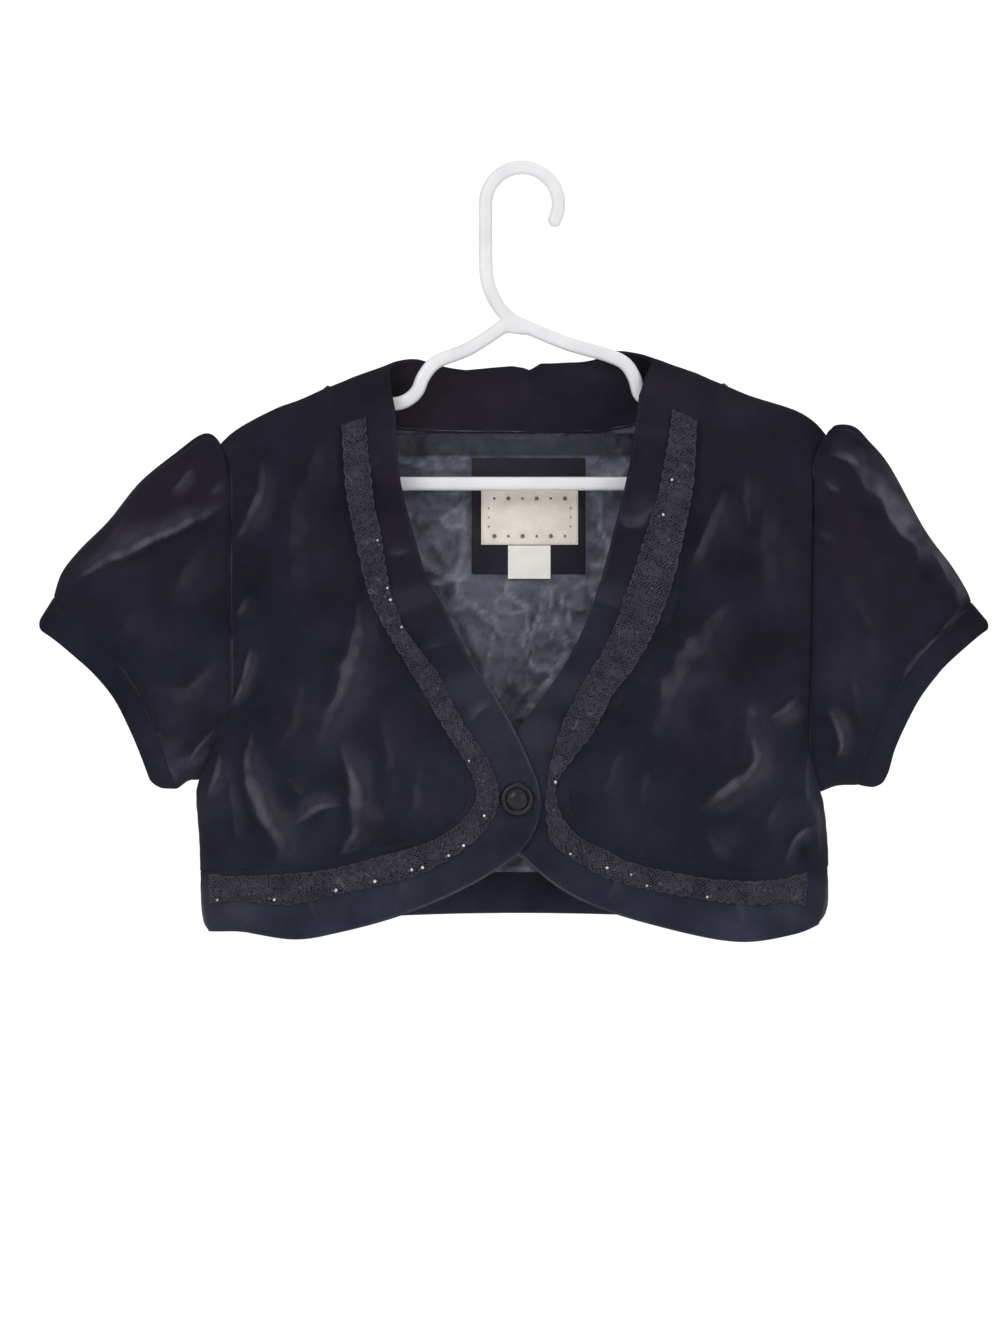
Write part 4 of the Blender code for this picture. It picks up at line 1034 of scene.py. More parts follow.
def back_panel():
    """From the shoulder folds and the neck seam down to the hem band."""
    right, left = shoulder_fold("right", 12), shoulder_fold("left", 12)
    neck = smooth_rows([row[:2] for row in COLLAR[COLLAR_BACK_FIRST:COLLAR_BACK_LAST + 1]], 40)
    top = np.concatenate([right[:-1], neck, left[-2::-1]])
    outer = {}
    for side in SIDE_SIGN:
        seam_z = HEM_BAND["seam"][0 if side == "right" else -1][1]
        line = [tuple(p) for p in SIDE_LINE[side][::16] if p[1] > seam_z + 4]
        outer[side] = line + [(float(side_x(side, seam_z)), seam_z)]
    hem = [outer["right"][-1]] + list(HEM_BAND["seam"][1:-1]) + [outer["left"][-1]]
    length = np.concatenate([[0], np.cumsum(np.linalg.norm(np.diff(top, axis=0), axis=1))])
    across = edge_steps(length[-1], BACK_STEPS)
    plan = coons(top, hem, outer["right"], outer["left"], across, edge_steps(*GRID["back down"]))
    x, z = plan[..., 0].copy(), plan[..., 1].copy()
    x[:, 0] = side_x("right", z[:, 0])
    x[:, -1] = side_x("left", z[:, -1])
    points = lifted(x, z, back_y(x, z))
    on_fold = (x[0] < COLLAR[COLLAR_BACK_FIRST][0]) | (x[0] > COLLAR[COLLAR_BACK_LAST][0])
    points[0, on_fold, 1] = 0
    normals = height_normals(points, back_y, 1)
    normals[0, on_fold, 1] = 0
    normals = unit(normals)
    distance = edge_distances(points)
    ripple = seam_puckers(distance, ("first", "left", 9, 0.5, 12, 51), ("last", "left", 10, 0.6, 13, 57))
    centre = np.exp(-np.abs(x + 3 + 1.5 * noise(x, z, 30, 61)) / 1.1)
    points = points + normals * (ripple - 0.9 * centre)[..., None]
    _, painted_shine, shade = fold_fields(x, z, BACK_FOLDS)
    shade = np.maximum(shade, hollows("back", x, z))
    return cloth("back", points, normals, VELVET, VELVET_CLOTH, SATIN_CLOTH,
                 seams=("first", "last", "left", "right"), painted_shine=painted_shine, shade=shade)


def back_hem_band():
    """Hem of the back, from side seam to side seam."""
    across = edge_steps(*GRID["hem across"])
    seam = smooth_rows(HEM_BAND["seam"], across)
    hem = smooth_rows(HEM_BAND["hem"], across)
    down = edge_steps(*GRID["hem down"])[:, None, None]
    plan = seam[None] * (1 - down) + hem[None] * down
    x, z = plan[..., 0].copy(), plan[..., 1]
    x[:, 0] = side_x("right", z[:, 0])
    x[:, -1] = side_x("left", z[:, -1])
    points = lifted(x, z, back_y(x, z))
    normals = height_normals(points, back_y, 1)
    distance = edge_distances(points)
    points = points + normals * puckers(distance["first"], distance["left"], 9, 0.5, 12, 63)[..., None]
    return cloth("back_hem_band", points, normals, BAND, VELVET_BAND,
                 seams=("first", "left", "right"), free=("last",))


def section_shares(side):
    """Share of the band's length at each of its sections."""
    steps = np.linalg.norm(np.diff(np.array(FRONT_BAND[side]), axis=0), axis=1)
    return np.concatenate([[0], np.cumsum(steps)]) / steps.sum()


def lace_edges(side, along):
    """Distance of the lace from the seam and its width, at shares of the band's length."""
    start, width = np.array(LACE[side], dtype=float).T
    where = section_shares(side)
    return np.interp(along, where, start)[:, None], np.interp(along, where, width)[:, None]


def band_surface(side, along, across):
    """Front band: rows run from the shoulder to the side seam, columns from the seam to the free edge."""
    rows = smooth_rows(FRONT_BAND[side], along)[:, None]
    share = across if across.ndim == 2 else across[None, :]
    x = rows[..., 0] * (1 - share) + rows[..., 2] * share
    z = rows[..., 1] * (1 - share) + rows[..., 3] * share
    if along[-1] == 1:
        x[-1] = side_x(side, z[-1])
    points = lifted(x, z, front_y(side, x, z))
    normals = height_normals(points, lambda a, b: front_y(side, a, b), -1)
    run = np.concatenate([[0], np.cumsum(np.linalg.norm(np.diff(rows[:, 0, :2], axis=0), axis=1))])[:, None]
    run = run + 0 * share
    width = np.linalg.norm(rows[..., :2] - rows[..., 2:], axis=-1)
    ripple = puckers(share * width, run, 8, 0.45, 12, 71)
    crown = 0.5 * np.sin(np.pi * np.clip(share, 0, 1))
    wave = 0.5 * layered_noise(run, share * width, 26, 77) * smoothstep(share * 3)
    crease, painted_shine = fold_fields(x, z, BAND_FOLDS[side])[:2]
    return points + normals * (ripple + crown + wave + crease)[..., None], normals, run, painted_shine


def front_band(side):
    """Velvet band down the front edge, round the corner and along the hem."""
    along = edge_steps(*GRID["band along"])
    points, normals, run, painted_shine = band_surface(side, along, edge_steps(*GRID["band across"]))
    # Painted highlight along the band's free edge, its strength per section from RIM_LIGHT
    rim = np.exp(-((edge_distances(points)["right"] - 0.8) / 0.55) ** 2)
    rim = rim * np.interp(along, section_shares(side), RIM_LIGHT[side])[:, None]
    rim = rim * np.clip(0.75 + 0.5 * layered_noise(run, 0 * run, 18, 87), 0, 1)
    # Soft random patches of painted sheen over the band
    painted_shine = np.maximum(painted_shine, 0.12 * smoothstep((layered_noise(run, points[..., 2], 40, 83) - 0.1) * 2.5))
    painted_shine = np.maximum(painted_shine, rim)
    beside_lace = 1 - smoothstep((edge_distances(points)["left"] - lace_edges(side, along)[0]) / 2)
    shade = np.maximum(0.4 * beside_lace, hollows(side + "_band", points[..., 0], points[..., 2]))
    return cloth(side + "_band", points, normals, BAND, VELVET_BAND,
                 seams=("first", "last", "left"), free=("right",), painted_shine=painted_shine, shade=shade)


def collar():
    """Band carried over the shoulders and round the back neck, standing up behind the hanger."""
    rows = []
    for seam_x, seam_z, face, edge_x, edge_y, edge_z in COLLAR:
        side = "right" if seam_x < 0 else "left"
        if face < 0:
            seam_y = float(front_y(side, seam_x, seam_z))
        elif face > 0:
            seam_y = float(back_y(seam_x, seam_z))
        else:
            seam_y = 0.0
        if edge_y is None:
            edge_y = float(front_y(side, edge_x, edge_z))
        rows.append((seam_x, seam_y, seam_z, edge_x, edge_y, edge_z))
    table = smooth_rows(rows, edge_steps(*GRID["collar along"]))[:, None]
    share = edge_steps(*GRID["band across"])[None, :, None]
    points = table[..., :3] * (1 - share) + table[..., 3:] * share
    normals = grid_normals(points, False)
    distance = edge_distances(points)
    run = distance["first"]
    crown = 0.6 * np.sin(np.pi * share[..., 0]) + 0.5 * layered_noise(run, distance["left"], 24, 91)
    wave = np.array(COLLAR_WAVE).T
    rise = np.interp(points[:, -1, 0], *wave)[:, None] * share[..., 0] ** 2
    points = points + normals * (crown + 0.5 * rise)[..., None]
    points[..., 2] += rise
    for side, row, edge in (("right", 0, "first"), ("left", -1, "last")):
        band, band_normals = band_surface(side, np.array([0.0]), share[0, :, 0])[:2]
        weight = (1 - smoothstep(distance[edge] / COLLAR_BLEND))[..., None]
        points = points + (band[0] - points[row]) * weight
        normals = unit(normals * (1 - weight) + band_normals[0] * weight)
    return cloth("back_collar", points, normals, BAND, VELVET_BAND, VELVET_INSIDE_PAINTED_LIGHT,
                 seams=("first", "last", "left"), free=("right",))


# Sleeves

def turns_of(count):
    """Angles round a sleeve, closer together over the cap and under the arm."""
    even = np.arange(count) / count * 2 * math.pi
    return even - 0.22 * np.sin(even) - 0.1 * np.sin(2 * even)


def sleeve_surface(side, start, end, depths, top, bottom, rings, turns, gathers):
    """Tube between two seams of the front view; angles run from the top, round the front."""
    along = rings[:, None]
    angle = turns[None, :]
    t = (1 - np.cos(angle)) / 2
    first_seam, last_seam = smooth_rows(start, t[0]), smooth_rows(end, t[0])
    rail_top, rail_bottom = smooth_rows(top, rings), smooth_rows(bottom, rings)
    u, v = along[..., None], t[..., None]
    corners = ((1 - u) * (1 - v) * rail_top[0] + (1 - u) * v * rail_bottom[0]
               + u * (1 - v) * rail_top[-1] + u * v * rail_bottom[-1])
    across = (1 - u) * first_seam[None] + u * last_seam[None]
    plan = across + (1 - v) * rail_top[:, None] + v * rail_bottom[:, None] - corners
    sine = np.sin(angle)
    shape = np.sign(sine) * np.abs(sine) ** ARMHOLE_POWER
    swell = SLEEVE_PUFF * 4 * along * (1 - along) + SEAM_PUFF * (1 - np.exp(-along / 0.08)) * (1 - along)
    depth = (depths[0] * (1 - along) + depths[1] * along + gathers * swell) * shape
    near_top = np.minimum(angle, 2 * math.pi - angle)
    ripple = gathers * sleeve_gathers(side, near_top, along, np.sign(math.pi - angle))
    up = unit(rail_top - rail_bottom)[:, None]
    plan = plan + up * (ripple * np.cos(angle))[..., None]
    return plan, -depth - ripple * sine


def sleeve_gathers(side, turn, along, face):
    """Rounded pleats that fan out from the top of the sleeve."""
    total = 0
    for row, (at, width, reach, height) in enumerate(CAP_GATHERS):
        shift = 0.05 * math.sin(7.3 * row + (1 if side == "left" else 0)) * np.where(face > 0, 1, -1)
        centre = at + shift + 0.25 * along * (row % 3 - 1)
        spread = width * (1 + 2.4 * along)
        rise = height * np.exp(-((turn - centre) / spread) ** 2) * np.exp(-(along / reach) ** 2)
        total = total + rise * (1 - np.exp(-along / 0.015))
    return total


def sleeve(side):
    """Puff sleeve from the armhole to the seam of the cuff."""
    turns = turns_of(ROUND_STEPS)
    rings = edge_steps(*GRID["sleeve along"])
    plan, y = sleeve_surface(side, ARMHOLE[side], CUFF_SEAM[side], (ARMHOLE_DEPTH, CUFF_DEPTH),
                             SLEEVE_TOP[side], SLEEVE_BOTTOM[side], rings, turns, 1.0)
    x, z = plan[..., 0], plan[..., 1]
    height, painted_shine, shade = fold_fields(x, z, SLEEVE_FOLDS[side])
    face = np.sign(math.pi - turns)[None, :]
    body = np.abs(np.sin(turns))[None, :] ** 0.8 * np.sin(np.pi * np.clip(rings, 0, 1))[:, None] ** 0.4
    wave = 0.6 * layered_noise(x, z + 300 * (face < 0), 30, 97)
    points = lifted(x, z, y - face * body * (height + wave))
    points[0, :, 0] -= SIDE_SIGN[side] * ARMPIT_TUCK * smoothstep((ARMPIT_TOP - z[0]) / 10)
    normals = grid_normals(points, True) * SIDE_SIGN[side]
    distance = edge_distances(points)
    ripple = puckers(distance["last"], 40 * turns[None, :] + 0 * distance["last"], 7, 0.5, 9, 101)
    points = points + normals * ripple[..., None]
    shade = np.maximum(shade, hollows(side + "_sleeve", x, z))
    return cloth(side + "_sleeve", points, normals, VELVET, VELVET_CLOTH, SATIN_CLOTH,
                 wrap=True, seams=("first", "last"), painted_shine=painted_shine, shade=shade)


def rounded_tips(plan, radii):
    """Rounds the hem of a cuff where it folds over at its top and under the arm."""
    seam, hem = plan[0], plan[-1]
    width = np.linalg.norm(hem - seam, axis=-1)
    share = np.ones(len(hem))
    for tip, radius in zip((hem[0], hem[len(hem) // 2]), radii):
        share = share - radius * (1 - round_rise(np.linalg.norm(hem - tip, axis=-1), radius)) / width
    return seam + (plan - seam) * share[:, None]


def cuff(side):
    """Narrow band round the end of the sleeve."""
    turns = turns_of(ROUND_STEPS)
    top = (CUFF_SEAM[side][0], CUFF_HEM[side][0])
    bottom = (CUFF_SEAM[side][-1], CUFF_HEM[side][-1])
    plan, y = sleeve_surface(side, CUFF_SEAM[side], CUFF_HEM[side], (CUFF_DEPTH, CUFF_DEPTH - 1.5),
                             top, bottom, edge_steps(17, 6, (0.0, 0.25, 0.6, 1.1, 1.8)), turns, 0.0)
    plan = rounded_tips(plan, CUFF_ROUND[side])
    points = lifted(plan[..., 0], plan[..., 1], y)
    normals = grid_normals(points, True) * SIDE_SIGN[side]
    distance = edge_distances(points)
    around = 40 * turns[None, :] + 0 * distance["first"]
    points = points + normals * puckers(distance["first"], around, 5, 0.4, 9, 103)[..., None]
    return cloth(side + "_cuff", points, normals, BAND, VELVET_CLOTH,
                 wrap=True, seams=("first",), free=("last",))


# Lace and sequins

def scallops(run, size, seed):
    """Uneven scallops between zero and one."""
    phase = run / size + 1.2 * noise(run, 0 * run, 2.2 * size, seed)
    return np.abs(np.sin(math.pi * phase)) ** 0.7 * (0.6 + 0.4 * noise(run, 0 * run, 3 * size, seed + 1))


def lace_pattern(run, across, width):
    """Relief of the lace and where it is open: flowers in a row on a net ground."""
    cell = np.floor(run / LACE_MOTIF)
    middle = (cell + 0.5) * LACE_MOTIF + 1.2 * np.sin(cell * 2.7)
    dx, dy = run - middle, across - width * (0.5 + 0.1 * np.sin(cell * 1.9))
    radius = np.hypot(dx, dy)
    angle = np.arctan2(dy, dx) + cell
    petal = np.minimum(3.6, 0.36 * width) + 1.2 * np.cos(5 * angle)
    flower = radius < petal
    vein = np.abs(np.sin(2.5 * angle)) < 0.16
    net = np.cos(2 * math.pi * run / 2.3) * np.cos(2 * math.pi * across / 2.3) > 0.3
    ring = (radius > petal + 0.9) & (radius < petal + 2.0)
    edge = np.minimum(across, width - across)
    open_here = (net & ~flower & ~ring) | (flower & vein & (radius > 1.6) & (radius < petal - 0.8))
    open_here &= edge > 1.8
    relief = 0.35 * flower + 0.25 * ring + 0.3 * np.exp(-((edge - 0.9) / 0.5) ** 2)
    crinkle = 0.35 * np.abs(noise(run, across, 2.6, 113)) + 0.18 * noise(run, across, 0.9, 111)
    return relief + crinkle, open_here


def lace_surface(side, along, share):
    """Points of the lace from shares of its own width; they lie on the band's surface."""
    rows = smooth_rows(FRONT_BAND[side], along)
    band_width = np.linalg.norm(rows[:, :2] - rows[:, 2:], axis=-1)[:, None]
    run = np.concatenate([[0], np.cumsum(np.linalg.norm(np.diff(rows[:, :2], axis=0), axis=1))])[:, None]
    start, width = lace_edges(side, along)
    first = start + 1.4 - 1.4 * scallops(run, 7.4, 117)
    last = start + width - 1.8 + 1.8 * scallops(run, 6.6, 119)
    across = first + (last - first) * share[None, :]
    points, normals = band_surface(side, along, across / band_width)[:2]
    near_end = smoothstep((run - run[-1] + LACE_TILT_REACH) / LACE_TILT_REACH)
    points[..., 2] += LACE_TILT * (0.5 - share) * near_end
    return points, normals, run + 0 * across, across - start, width + 0 * across


def lace(side):
    """Strip of lace on the band, with its net cut open."""
    along = np.linspace(0.0, LACE_END[side], int(BAND_LENGTH / LACE_STEP))
    share = np.linspace(0, 1, int(LACE_WIDTH / LACE_STEP))
    points, normals, run, across, width = lace_surface(side, along, share)
    relief = lace_pattern(run, across, width)[0]
    middle = [(grid[:-1, :-1] + grid[1:, 1:]) / 2 for grid in (run, across, width)]
    open_here = lace_pattern(*middle)[1]
    outer = points + normals * (0.3 + YARN + relief)[..., None]
    inner = points + normals * 0.3
    mesh = grid_shell(side + "_lace_cloth", outer, inner, keep=~open_here, inner_slot=0)[0]
    return put(side + "_lace_cloth", mesh, (LACE_CLOTH,), (side + "_lace",))


def sequins(side):
    """Small flat cups sewn on the lace: foil ones where they catch the light, the rest a dark, dull copy of
    them as painted shade.
    """
    random = np.random.default_rng(7 if side == "right" else 8)
    along = np.linspace(0.01, LACE_END[side] - 0.01, SEQUIN_ROWS)
    points, normals = lace_surface(side, along, np.linspace(0.15, 0.85, SEQUIN_COLUMNS))[:2]
    spots = []
    for x, z in SPARKLES[side]:
        gap = np.hypot(points[..., 0] - x, points[..., 2] - z)
        row, column = np.unravel_index(np.argmin(gap), gap.shape)
        spots.append((row, column, 0))
        spots.append((row + int(random.integers(3, 6)), column + int(random.integers(-2, 3)), 1))
    for row in range(8, SEQUIN_ROWS - 10, 58):
        spots.append((row + int(random.integers(-5, 6)), int(random.integers(4, 12)), 1))
    work = bmesh.new()
    for row, column, shaded_copy in spots:
        row, column = min(max(row, 0), SEQUIN_ROWS - 1), min(max(column, 0), SEQUIN_COLUMNS - 1)
        normal = Vector(normals[row, column])
        facing = (normal + Vector(random.uniform(-0.3, 0.3, 3))).to_track_quat("Z", "Y").to_matrix().to_4x4()
        spot = Vector(points[row, column]) + normal * (YARN + 1.4)
        size = SEQUIN_RADIUS * random.uniform(0.8, 1.15) * MM
        cup = bmesh.ops.create_cone(work, cap_ends=True, segments=12, radius1=size, radius2=size * 0.75,
                                    depth=0.25 * MM, matrix=Matrix.Translation(spot * MM) @ facing)
        for face in {face for corner in cup["verts"] for face in corner.link_faces}:
            face.material_index = shaded_copy
    mesh = finished(work, side + "_sequins")
    return put(side + "_sequins", mesh, (SEQUIN_FOIL, SEQUIN_PAINTED_SHADE), ())


# Lining and labels

def near_box(x, z, box, margin):
    left, right, top, bottom = box
    outside = np.maximum(np.maximum(left - x, x - right), np.maximum(bottom - z, z - top))
    return 1 - smoothstep(outside / margin)


def lining_fields(x, z):
    """Height of the lining's creases and crumples, and the painted shine along them."""
    height, painted_shine = fold_fields(x, z, LINING_FOLDS)[:2]
    ridges = 1 - np.abs(layered_noise(x, z, 21, 131, 2)) * 2.2
    crumple = 1.1 * np.clip(ridges, 0, 1) ** 3 + 0.5 * layered_noise(x, z, 12, 137)
    small = 1 - np.abs(noise(x, z, 9, 141)) * 2.4
    crumple = crumple + 0.8 * np.clip(small, 0, 1) ** 3
    painted_shine = np.maximum(painted_shine, 0.75 * np.clip(ridges, 0, 1) ** 8)
    painted_shine = np.maximum(painted_shine, 0.6 * np.clip(small, 0, 1) ** 9 * smoothstep(0.5 + noise(x, z, 30, 149)))
    calm = 1 - near_box(x, z, PATCH_BOX, 7)
    return (height + crumple) * calm, painted_shine * calm


def lining_strip(x, z):
    """Dark strip under the collar seam, broken by lighter cloth."""
    strip = smoothstep((z + 168.5 + 1.2 * noise(x, z, 13, 163)) / 2.0)
    return strip * np.clip(0.98 - 0.25 * np.clip(layered_noise(x, z, 11, 167), 0, 1), 0, 1)


def lining():
    """Back lining, from below the collar to the top of the hem facing."""
    plan = coons(*LINING_OUTLINE, edge_steps(*GRID["lining across"]), edge_steps(*GRID["lining down"]))
    x, z = plan[..., 0], plan[..., 1]
    height, painted_shine = lining_fields(x, z)
    points = lifted(x, z, body_depth(x, z) - LINING_INSET - height - 0.3)
    normals = height_normals(points, lambda a, b: body_depth(a, b) - LINING_INSET - lining_fields(a, b)[0], 1)
    inner = points - normals * SATIN
    mesh, used = grid_shell("back_lining_cloth", points, inner, inner_slot=0)
    strip = lining_strip(x, z).ravel()
    add_values(mesh, "painted_sheen", np.concatenate([painted_shine.ravel(), painted_shine.ravel()])[used])
    add_values(mesh, "shade", np.concatenate([strip, strip])[used])
    return put("back_lining_cloth", mesh, (SATIN_CLOTH,), ("back_lining",))


def label_inset(layer):
    """Depth of the velvet patch (0) or of the labels on it (1) inside the back."""
    return LINING_INSET + PATCH + LABEL_CLEARANCE + layer * LABEL_LAYER


def laid_piece(node, box, layer, thickness, material, curl=0.0):
    left, right, top, bottom = box
    across, down = edge_steps(right - left, 26), edge_steps(top - bottom, 20)
    x, z = np.meshgrid(left + (right - left) * across, top + (bottom - top) * down)
    wave = 0.35 * noise(x, z, 16, 151 + layer) + curl * (down[:, None] ** 2)
    points = lifted(x, z, body_depth(x, z) - label_inset(layer) - wave)
    return cloth(node, points, height_normals(points, body_depth, 1), thickness, material,
                 free=("first", "last", "left", "right"))


def small_flowers(name, spots, layer, material):
    """Woven motifs: a round eye and petals for a flower, one disc for a dot."""
    work = bmesh.new()
    for x, z, size, petals in spots:
        height = float(body_depth(x, z)) - (label_inset(layer) + LABEL) - 0.45
        places = [(0, 0, size)]
        for k in range(petals):
            turn = 2 * math.pi * k / petals
            places.append((1.25 * size * math.cos(turn), 1.25 * size * math.sin(turn), 0.62 * size))
        for dx, dz, radius in places:
            spot = Matrix.Translation(Vector((x + dx, height, z + dz)) * MM)
            bmesh.ops.create_cone(work, cap_ends=True, segments=14, radius1=radius * MM,
                                  radius2=0.8 * radius * MM, depth=0.25 * MM, matrix=spot @ FACING_FRONT)
    return put(name, finished(work, name), (material,), ())


def label_motifs():
    """Border of small flowers and dots round a bare label."""
    left, right, top, bottom = LABEL_BOX
    spots = []
    for k in range(6):
        x = left + 8 + k * (right - left - 16) / 5
        spots.append((x, bottom + 5.2, 0.75, 5 if k % 2 == 0 else 0))
        spots.append((x, top - 9.5, 0.75, 0 if k % 2 == 0 else 5))
    for k in range(3):
        z = bottom + 11 + k * 5.5
        spots.append((left + 4.6, z, 0.5, 0))
        spots.append((right - 4.6, z, 0.5, 0))
    return small_flowers("label_motifs", spots, 1, MOTIF_THREAD)


def stitches(name, box, layer, inset, length, gap, radius, thickness, material):
    """Running stitches round a laid piece, just inside its edge."""
    left, right, top, bottom = box[0] + inset, box[1] - inset, box[2] - inset, box[3] + inset
    lines = (((left, top), (right, top)), ((right, top), (right, bottom)),
             ((right, bottom), (left, bottom)), ((left, bottom), (left, top)))
    work = bmesh.new()
    base = label_inset(layer) + thickness
    for (x0, z0), (x1, z1) in lines:
        run = math.hypot(x1 - x0, z1 - z0)
        count = int(run / (length + gap))
        upright = abs(x1 - x0) < abs(z1 - z0)
        for k in range(count):
            share = (k + 0.5) / count
            x, z = x0 + (x1 - x0) * share, z0 + (z1 - z0) * share
            y = float(body_depth(x, z)) - base - 0.3
            place = Matrix.Translation(Vector((x, y, z)) * MM)
            if not upright:
                place = place @ Matrix.Rotation(math.pi / 2, 4, "Y")
            stretch = Matrix.Diagonal((radius * MM, radius * MM, length / 2 * MM, 1))
            bmesh.ops.create_icosphere(work, subdivisions=1, radius=1.0, matrix=place @ stretch)
    return put(name, finished(work, name, True), (material,), ())


# Hard pieces

def button():
    """Turned button: a raised rim, a dished ring and a low dome in the middle."""
    steps = 72
    turn = [2 * math.pi * k / steps for k in range(steps)]
    work = bmesh.new()
    rings = []
    for radius, height in smooth_rows(BUTTON_PROFILE, 56):
        if radius < 1e-6:
            rings.append([work.verts.new((0, 0, height * MM))])
            continue
        around = [(radius * MM * math.cos(a), radius * MM * math.sin(a)) for a in turn]
        rings.append([work.verts.new((x, y, height * MM)) for x, y in around])
    for one, two in zip(rings, rings[1:]):
        for k in range(steps):
            n = (k + 1) % steps
            if len(one) == 1:
                work.faces.new((one[0], two[k], two[n]))
            elif len(two) == 1:
                work.faces.new((one[n], one[k], two[0]))
            else:
                work.faces.new((one[n], one[k], two[k], two[n]))
    bmesh.ops.recalc_face_normals(work, faces=work.faces)
    seat = float(front_y("right", BUTTON_X, BUTTON_Z)) - BUTTON_SINK
    work.transform(Matrix.Translation(Vector((BUTTON_X, seat, BUTTON_Z)) * MM) @ FACING_FRONT)
    mesh = finished(work, "button_turned", True)
    return put("button_turned", mesh, (BUTTON_GLOSS,), ("button",))


def tube(work, path, radius, closed, sides=24):
    """Adds a squarish tube along a path of the X-Z plane, with round ends where it is open."""
    path = np.array([(x, 0.0, z) for x, z in path])
    count = len(path)
    rings = []
    for i in range(count):
        before = path[i - 1] if i or closed else path[0]
        after = path[(i + 1) % count] if i + 1 < count or closed else path[-1]
        forward = unit(after - before)
        side = np.cross(forward, (0, 1, 0))
        turn = np.linspace(0, 2 * math.pi, sides, endpoint=False)
        wide, deep = (np.sign(value) * np.abs(value) ** SQUARENESS for value in (np.cos(turn), np.sin(turn)))
        ring = path[i] + 0.92 * radius * (wide[:, None] * side + deep[:, None] * np.array((0, 1, 0)))
        rings.append([work.verts.new(Vector(p) * MM) for p in ring])
    for i in range(count if closed else count - 1):
        one, two = rings[i], rings[(i + 1) % count]
        for k in range(sides):
            n = (k + 1) % sides
            work.faces.new((one[k], one[n], two[n], two[k]))
    if not closed:
        for ring, tip, beside in ((rings[0], path[0], path[1]), (rings[-1], path[-1], path[-2])):
            pole = work.verts.new(Vector(tip + unit(tip - beside) * radius * 0.6) * MM)
            for k in range(sides):
                work.faces.new((ring[k], ring[(k + 1) % sides], pole))


def hanger():
    """Moulded tube: two notched arms, a bar and a hook, with a small web where they join."""
    right, left = (smooth_rows(HANGER_ARM[side], 130) for side in SIDE_SIGN)
    radius = HOOK_INNER_RADIUS + TUBE_RADIUS
    arc = []
    for degrees in np.linspace(180, HOOK_TIP_DEGREES, 60):
        turn = math.radians(degrees)
        arc.append((radius * math.cos(turn), radius * math.sin(turn) - HOOK_INNER_RADIUS))
    work = bmesh.new()
    tube(work, np.concatenate([right, left[:0:-1]]), TUBE_RADIUS, True)
    tube(work, np.concatenate([smooth_rows(HANGER_STEM[::-1], 40)[:-1], np.array(arc)]), TUBE_RADIUS, False)
    tube(work, HANGER_WEB, WEB_RADIUS, False)
    bmesh.ops.recalc_face_normals(work, faces=work.faces)
    piece = put("hanger_tube", finished(work, "hanger_tube"), (HANGER_PLASTIC,), ("hanger",))
    merge = piece.modifiers.new("merge", "REMESH")
    merge.mode = "VOXEL"
    merge.voxel_size = HANGER_VOXEL
    merge.use_smooth_shade = True
    relax = piece.modifiers.new("relax", "SMOOTH")
    relax.factor = 0.5
    relax.iterations = 5
    return piece


# Room

def area_light(name, place, aim, size, power):
    light = bpy.data.lights.new(name, "AREA")
    light.shape = "RECTANGLE"
    light.size, light.size_y = size
    light.energy = power
    lamp = bpy.data.objects.new(name, light)
    lamp.location = place
    lamp.rotation_euler = (Vector(aim) - Vector(place)).to_track_quat("-Z", "Y").to_euler()
    lamp.visible_camera = False
    bpy.context.scene.collection.objects.link(lamp)


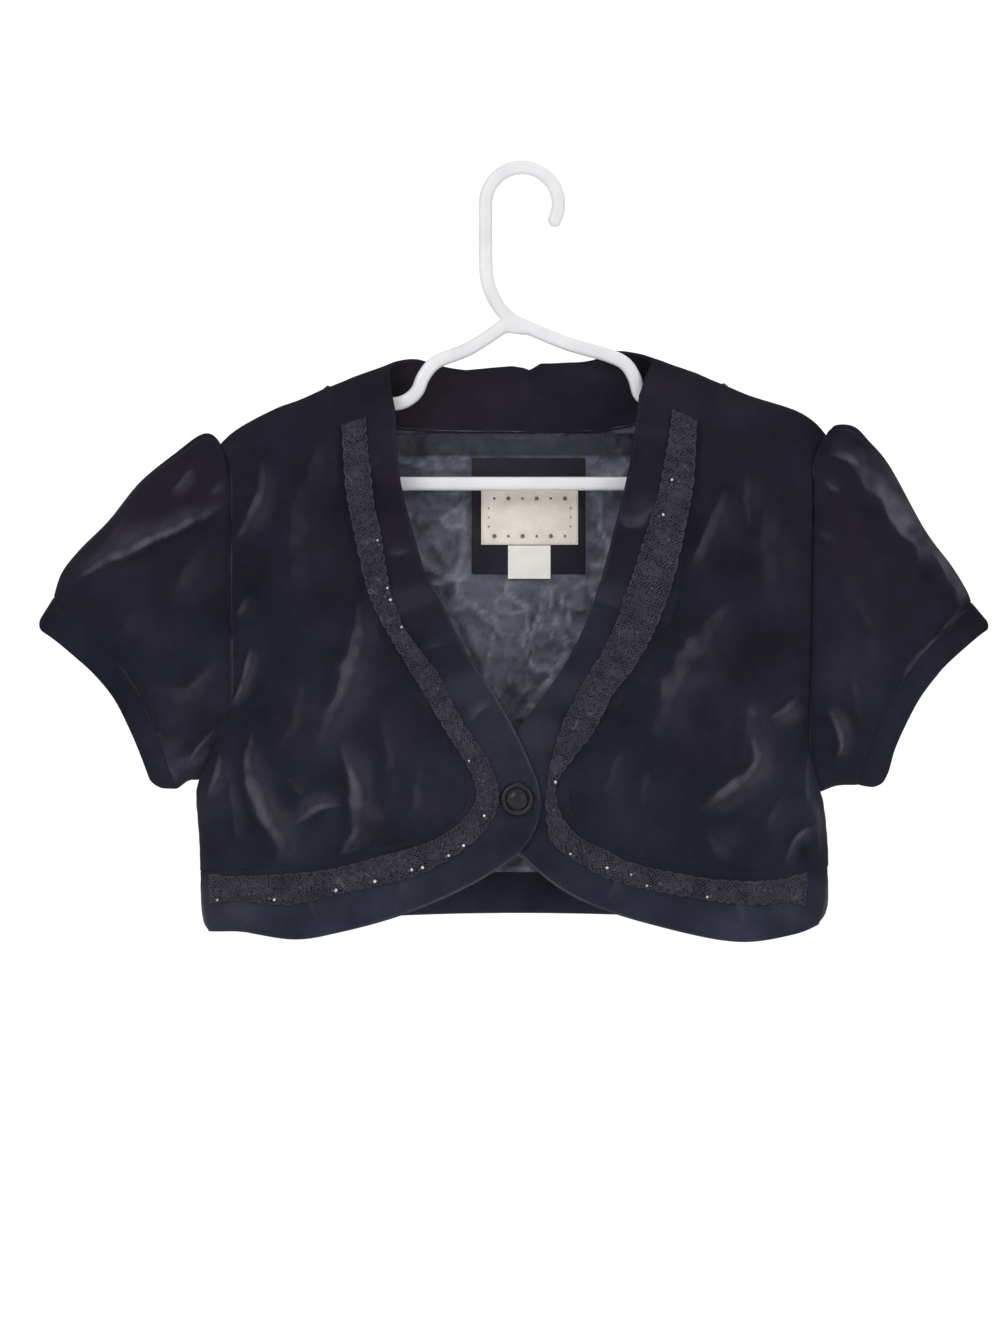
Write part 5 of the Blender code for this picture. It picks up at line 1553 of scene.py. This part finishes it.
def room():
    """White floor that curves up into a white wall, soft light from all round."""
    world = bpy.data.worlds.new("studio")
    bpy.context.scene.world = world
    world.use_nodes = True
    background = world.node_tree.nodes["Background"]
    background.inputs["Color"].default_value = (1.0, 1.0, 1.0, 1)
    background.inputs["Strength"].default_value = WORLD_LIGHT
    outline = [(0.0, FLOOR_Z), (WALL_START, FLOOR_Z)]
    for k in range(1, ARC_STEPS + 1):
        turn = math.radians(90 * k / ARC_STEPS)
        out, up = WALL_CURVE * math.sin(turn), WALL_CURVE * (1 - math.cos(turn))
        outline.append((WALL_START + out, FLOOR_Z + up))
    outline.append((WALL_START + WALL_CURVE, WALL_TOP))
    turns = [2 * math.pi * k / WALL_STEPS for k in range(WALL_STEPS)]
    vertices = [(0, 0, FLOOR_Z)]
    vertices += [(r * math.sin(a), r * math.cos(a), z) for r, z in outline[1:] for a in turns]
    faces = [(0, 1 + (k + 1) % WALL_STEPS, 1 + k) for k in range(WALL_STEPS)]
    for ring in range(len(outline) - 2):
        first = 1 + ring * WALL_STEPS
        second = first + WALL_STEPS
        for k in range(WALL_STEPS):
            after = (k + 1) % WALL_STEPS
            faces.append((first + k, first + after, second + after, second + k))
    mesh = bpy.data.meshes.new("backdrop")
    mesh.from_pydata(vertices, [], faces)
    mesh.shade_smooth()
    paper = Surface("backdrop_paper", {"Roughness": 0.9, "Emission Color": (1.0, 1.0, 1.0, 1),
                                       "Emission Strength": WALL_GLOW})
    paper.paint(paper.ramp(paper.noise(3, 2, 0.5), (0.985, 0.985, 0.985), (1.0, 1.0, 1.0)))
    mesh.materials.append(paper.material)
    backdrop = bpy.data.objects.new("backdrop", mesh)
    bpy.context.scene.collection.objects.link(backdrop)
    for row in LIGHTS:
        area_light(*row)
    bpy.context.scene.view_settings.view_transform = "Standard"


def camera():
    """Long lens, level with the middle of the jacket."""
    lens = bpy.data.cameras.new("camera")
    lens.sensor_width = SENSOR
    lens.lens = SENSOR * CAMERA_DISTANCE / FRAME_HEIGHT
    lens.clip_end = 50
    view = bpy.data.objects.new("camera", lens)
    view.location = Vector((CAMERA_X, -CAMERA_DISTANCE, CAMERA_Z)) * MM
    view.rotation_euler = (math.pi / 2, 0, 0)
    bpy.context.scene.collection.objects.link(view)
    bpy.context.scene.camera = view


camera()
room()
for one_side in SIDE_SIGN:
    front_panel(one_side)
    front_band(one_side)
    sleeve(one_side)
    cuff(one_side)
    lace(one_side)
    sequins(one_side)
back_panel()
back_hem_band()
collar()
lining()
laid_piece("label_patch", PATCH_BOX, 0, PATCH, VELVET_PATCH)
laid_piece("label", LABEL_BOX, 1, LABEL, LABEL_CLOTH)
laid_piece("size_tab", TAB_BOX, 1, LABEL, TAB_CLOTH, 0.8)
label_motifs()
stitches("label_stitches", LABEL_BOX, 1, 1.0, 1.3, 1.1, 0.16, LABEL, PALE_THREAD)
stitches("patch_stitches", PATCH_BOX, 0, 2.0, 1.8, 1.4, 0.22, PATCH, DARK_THREAD)
button()
hanger()
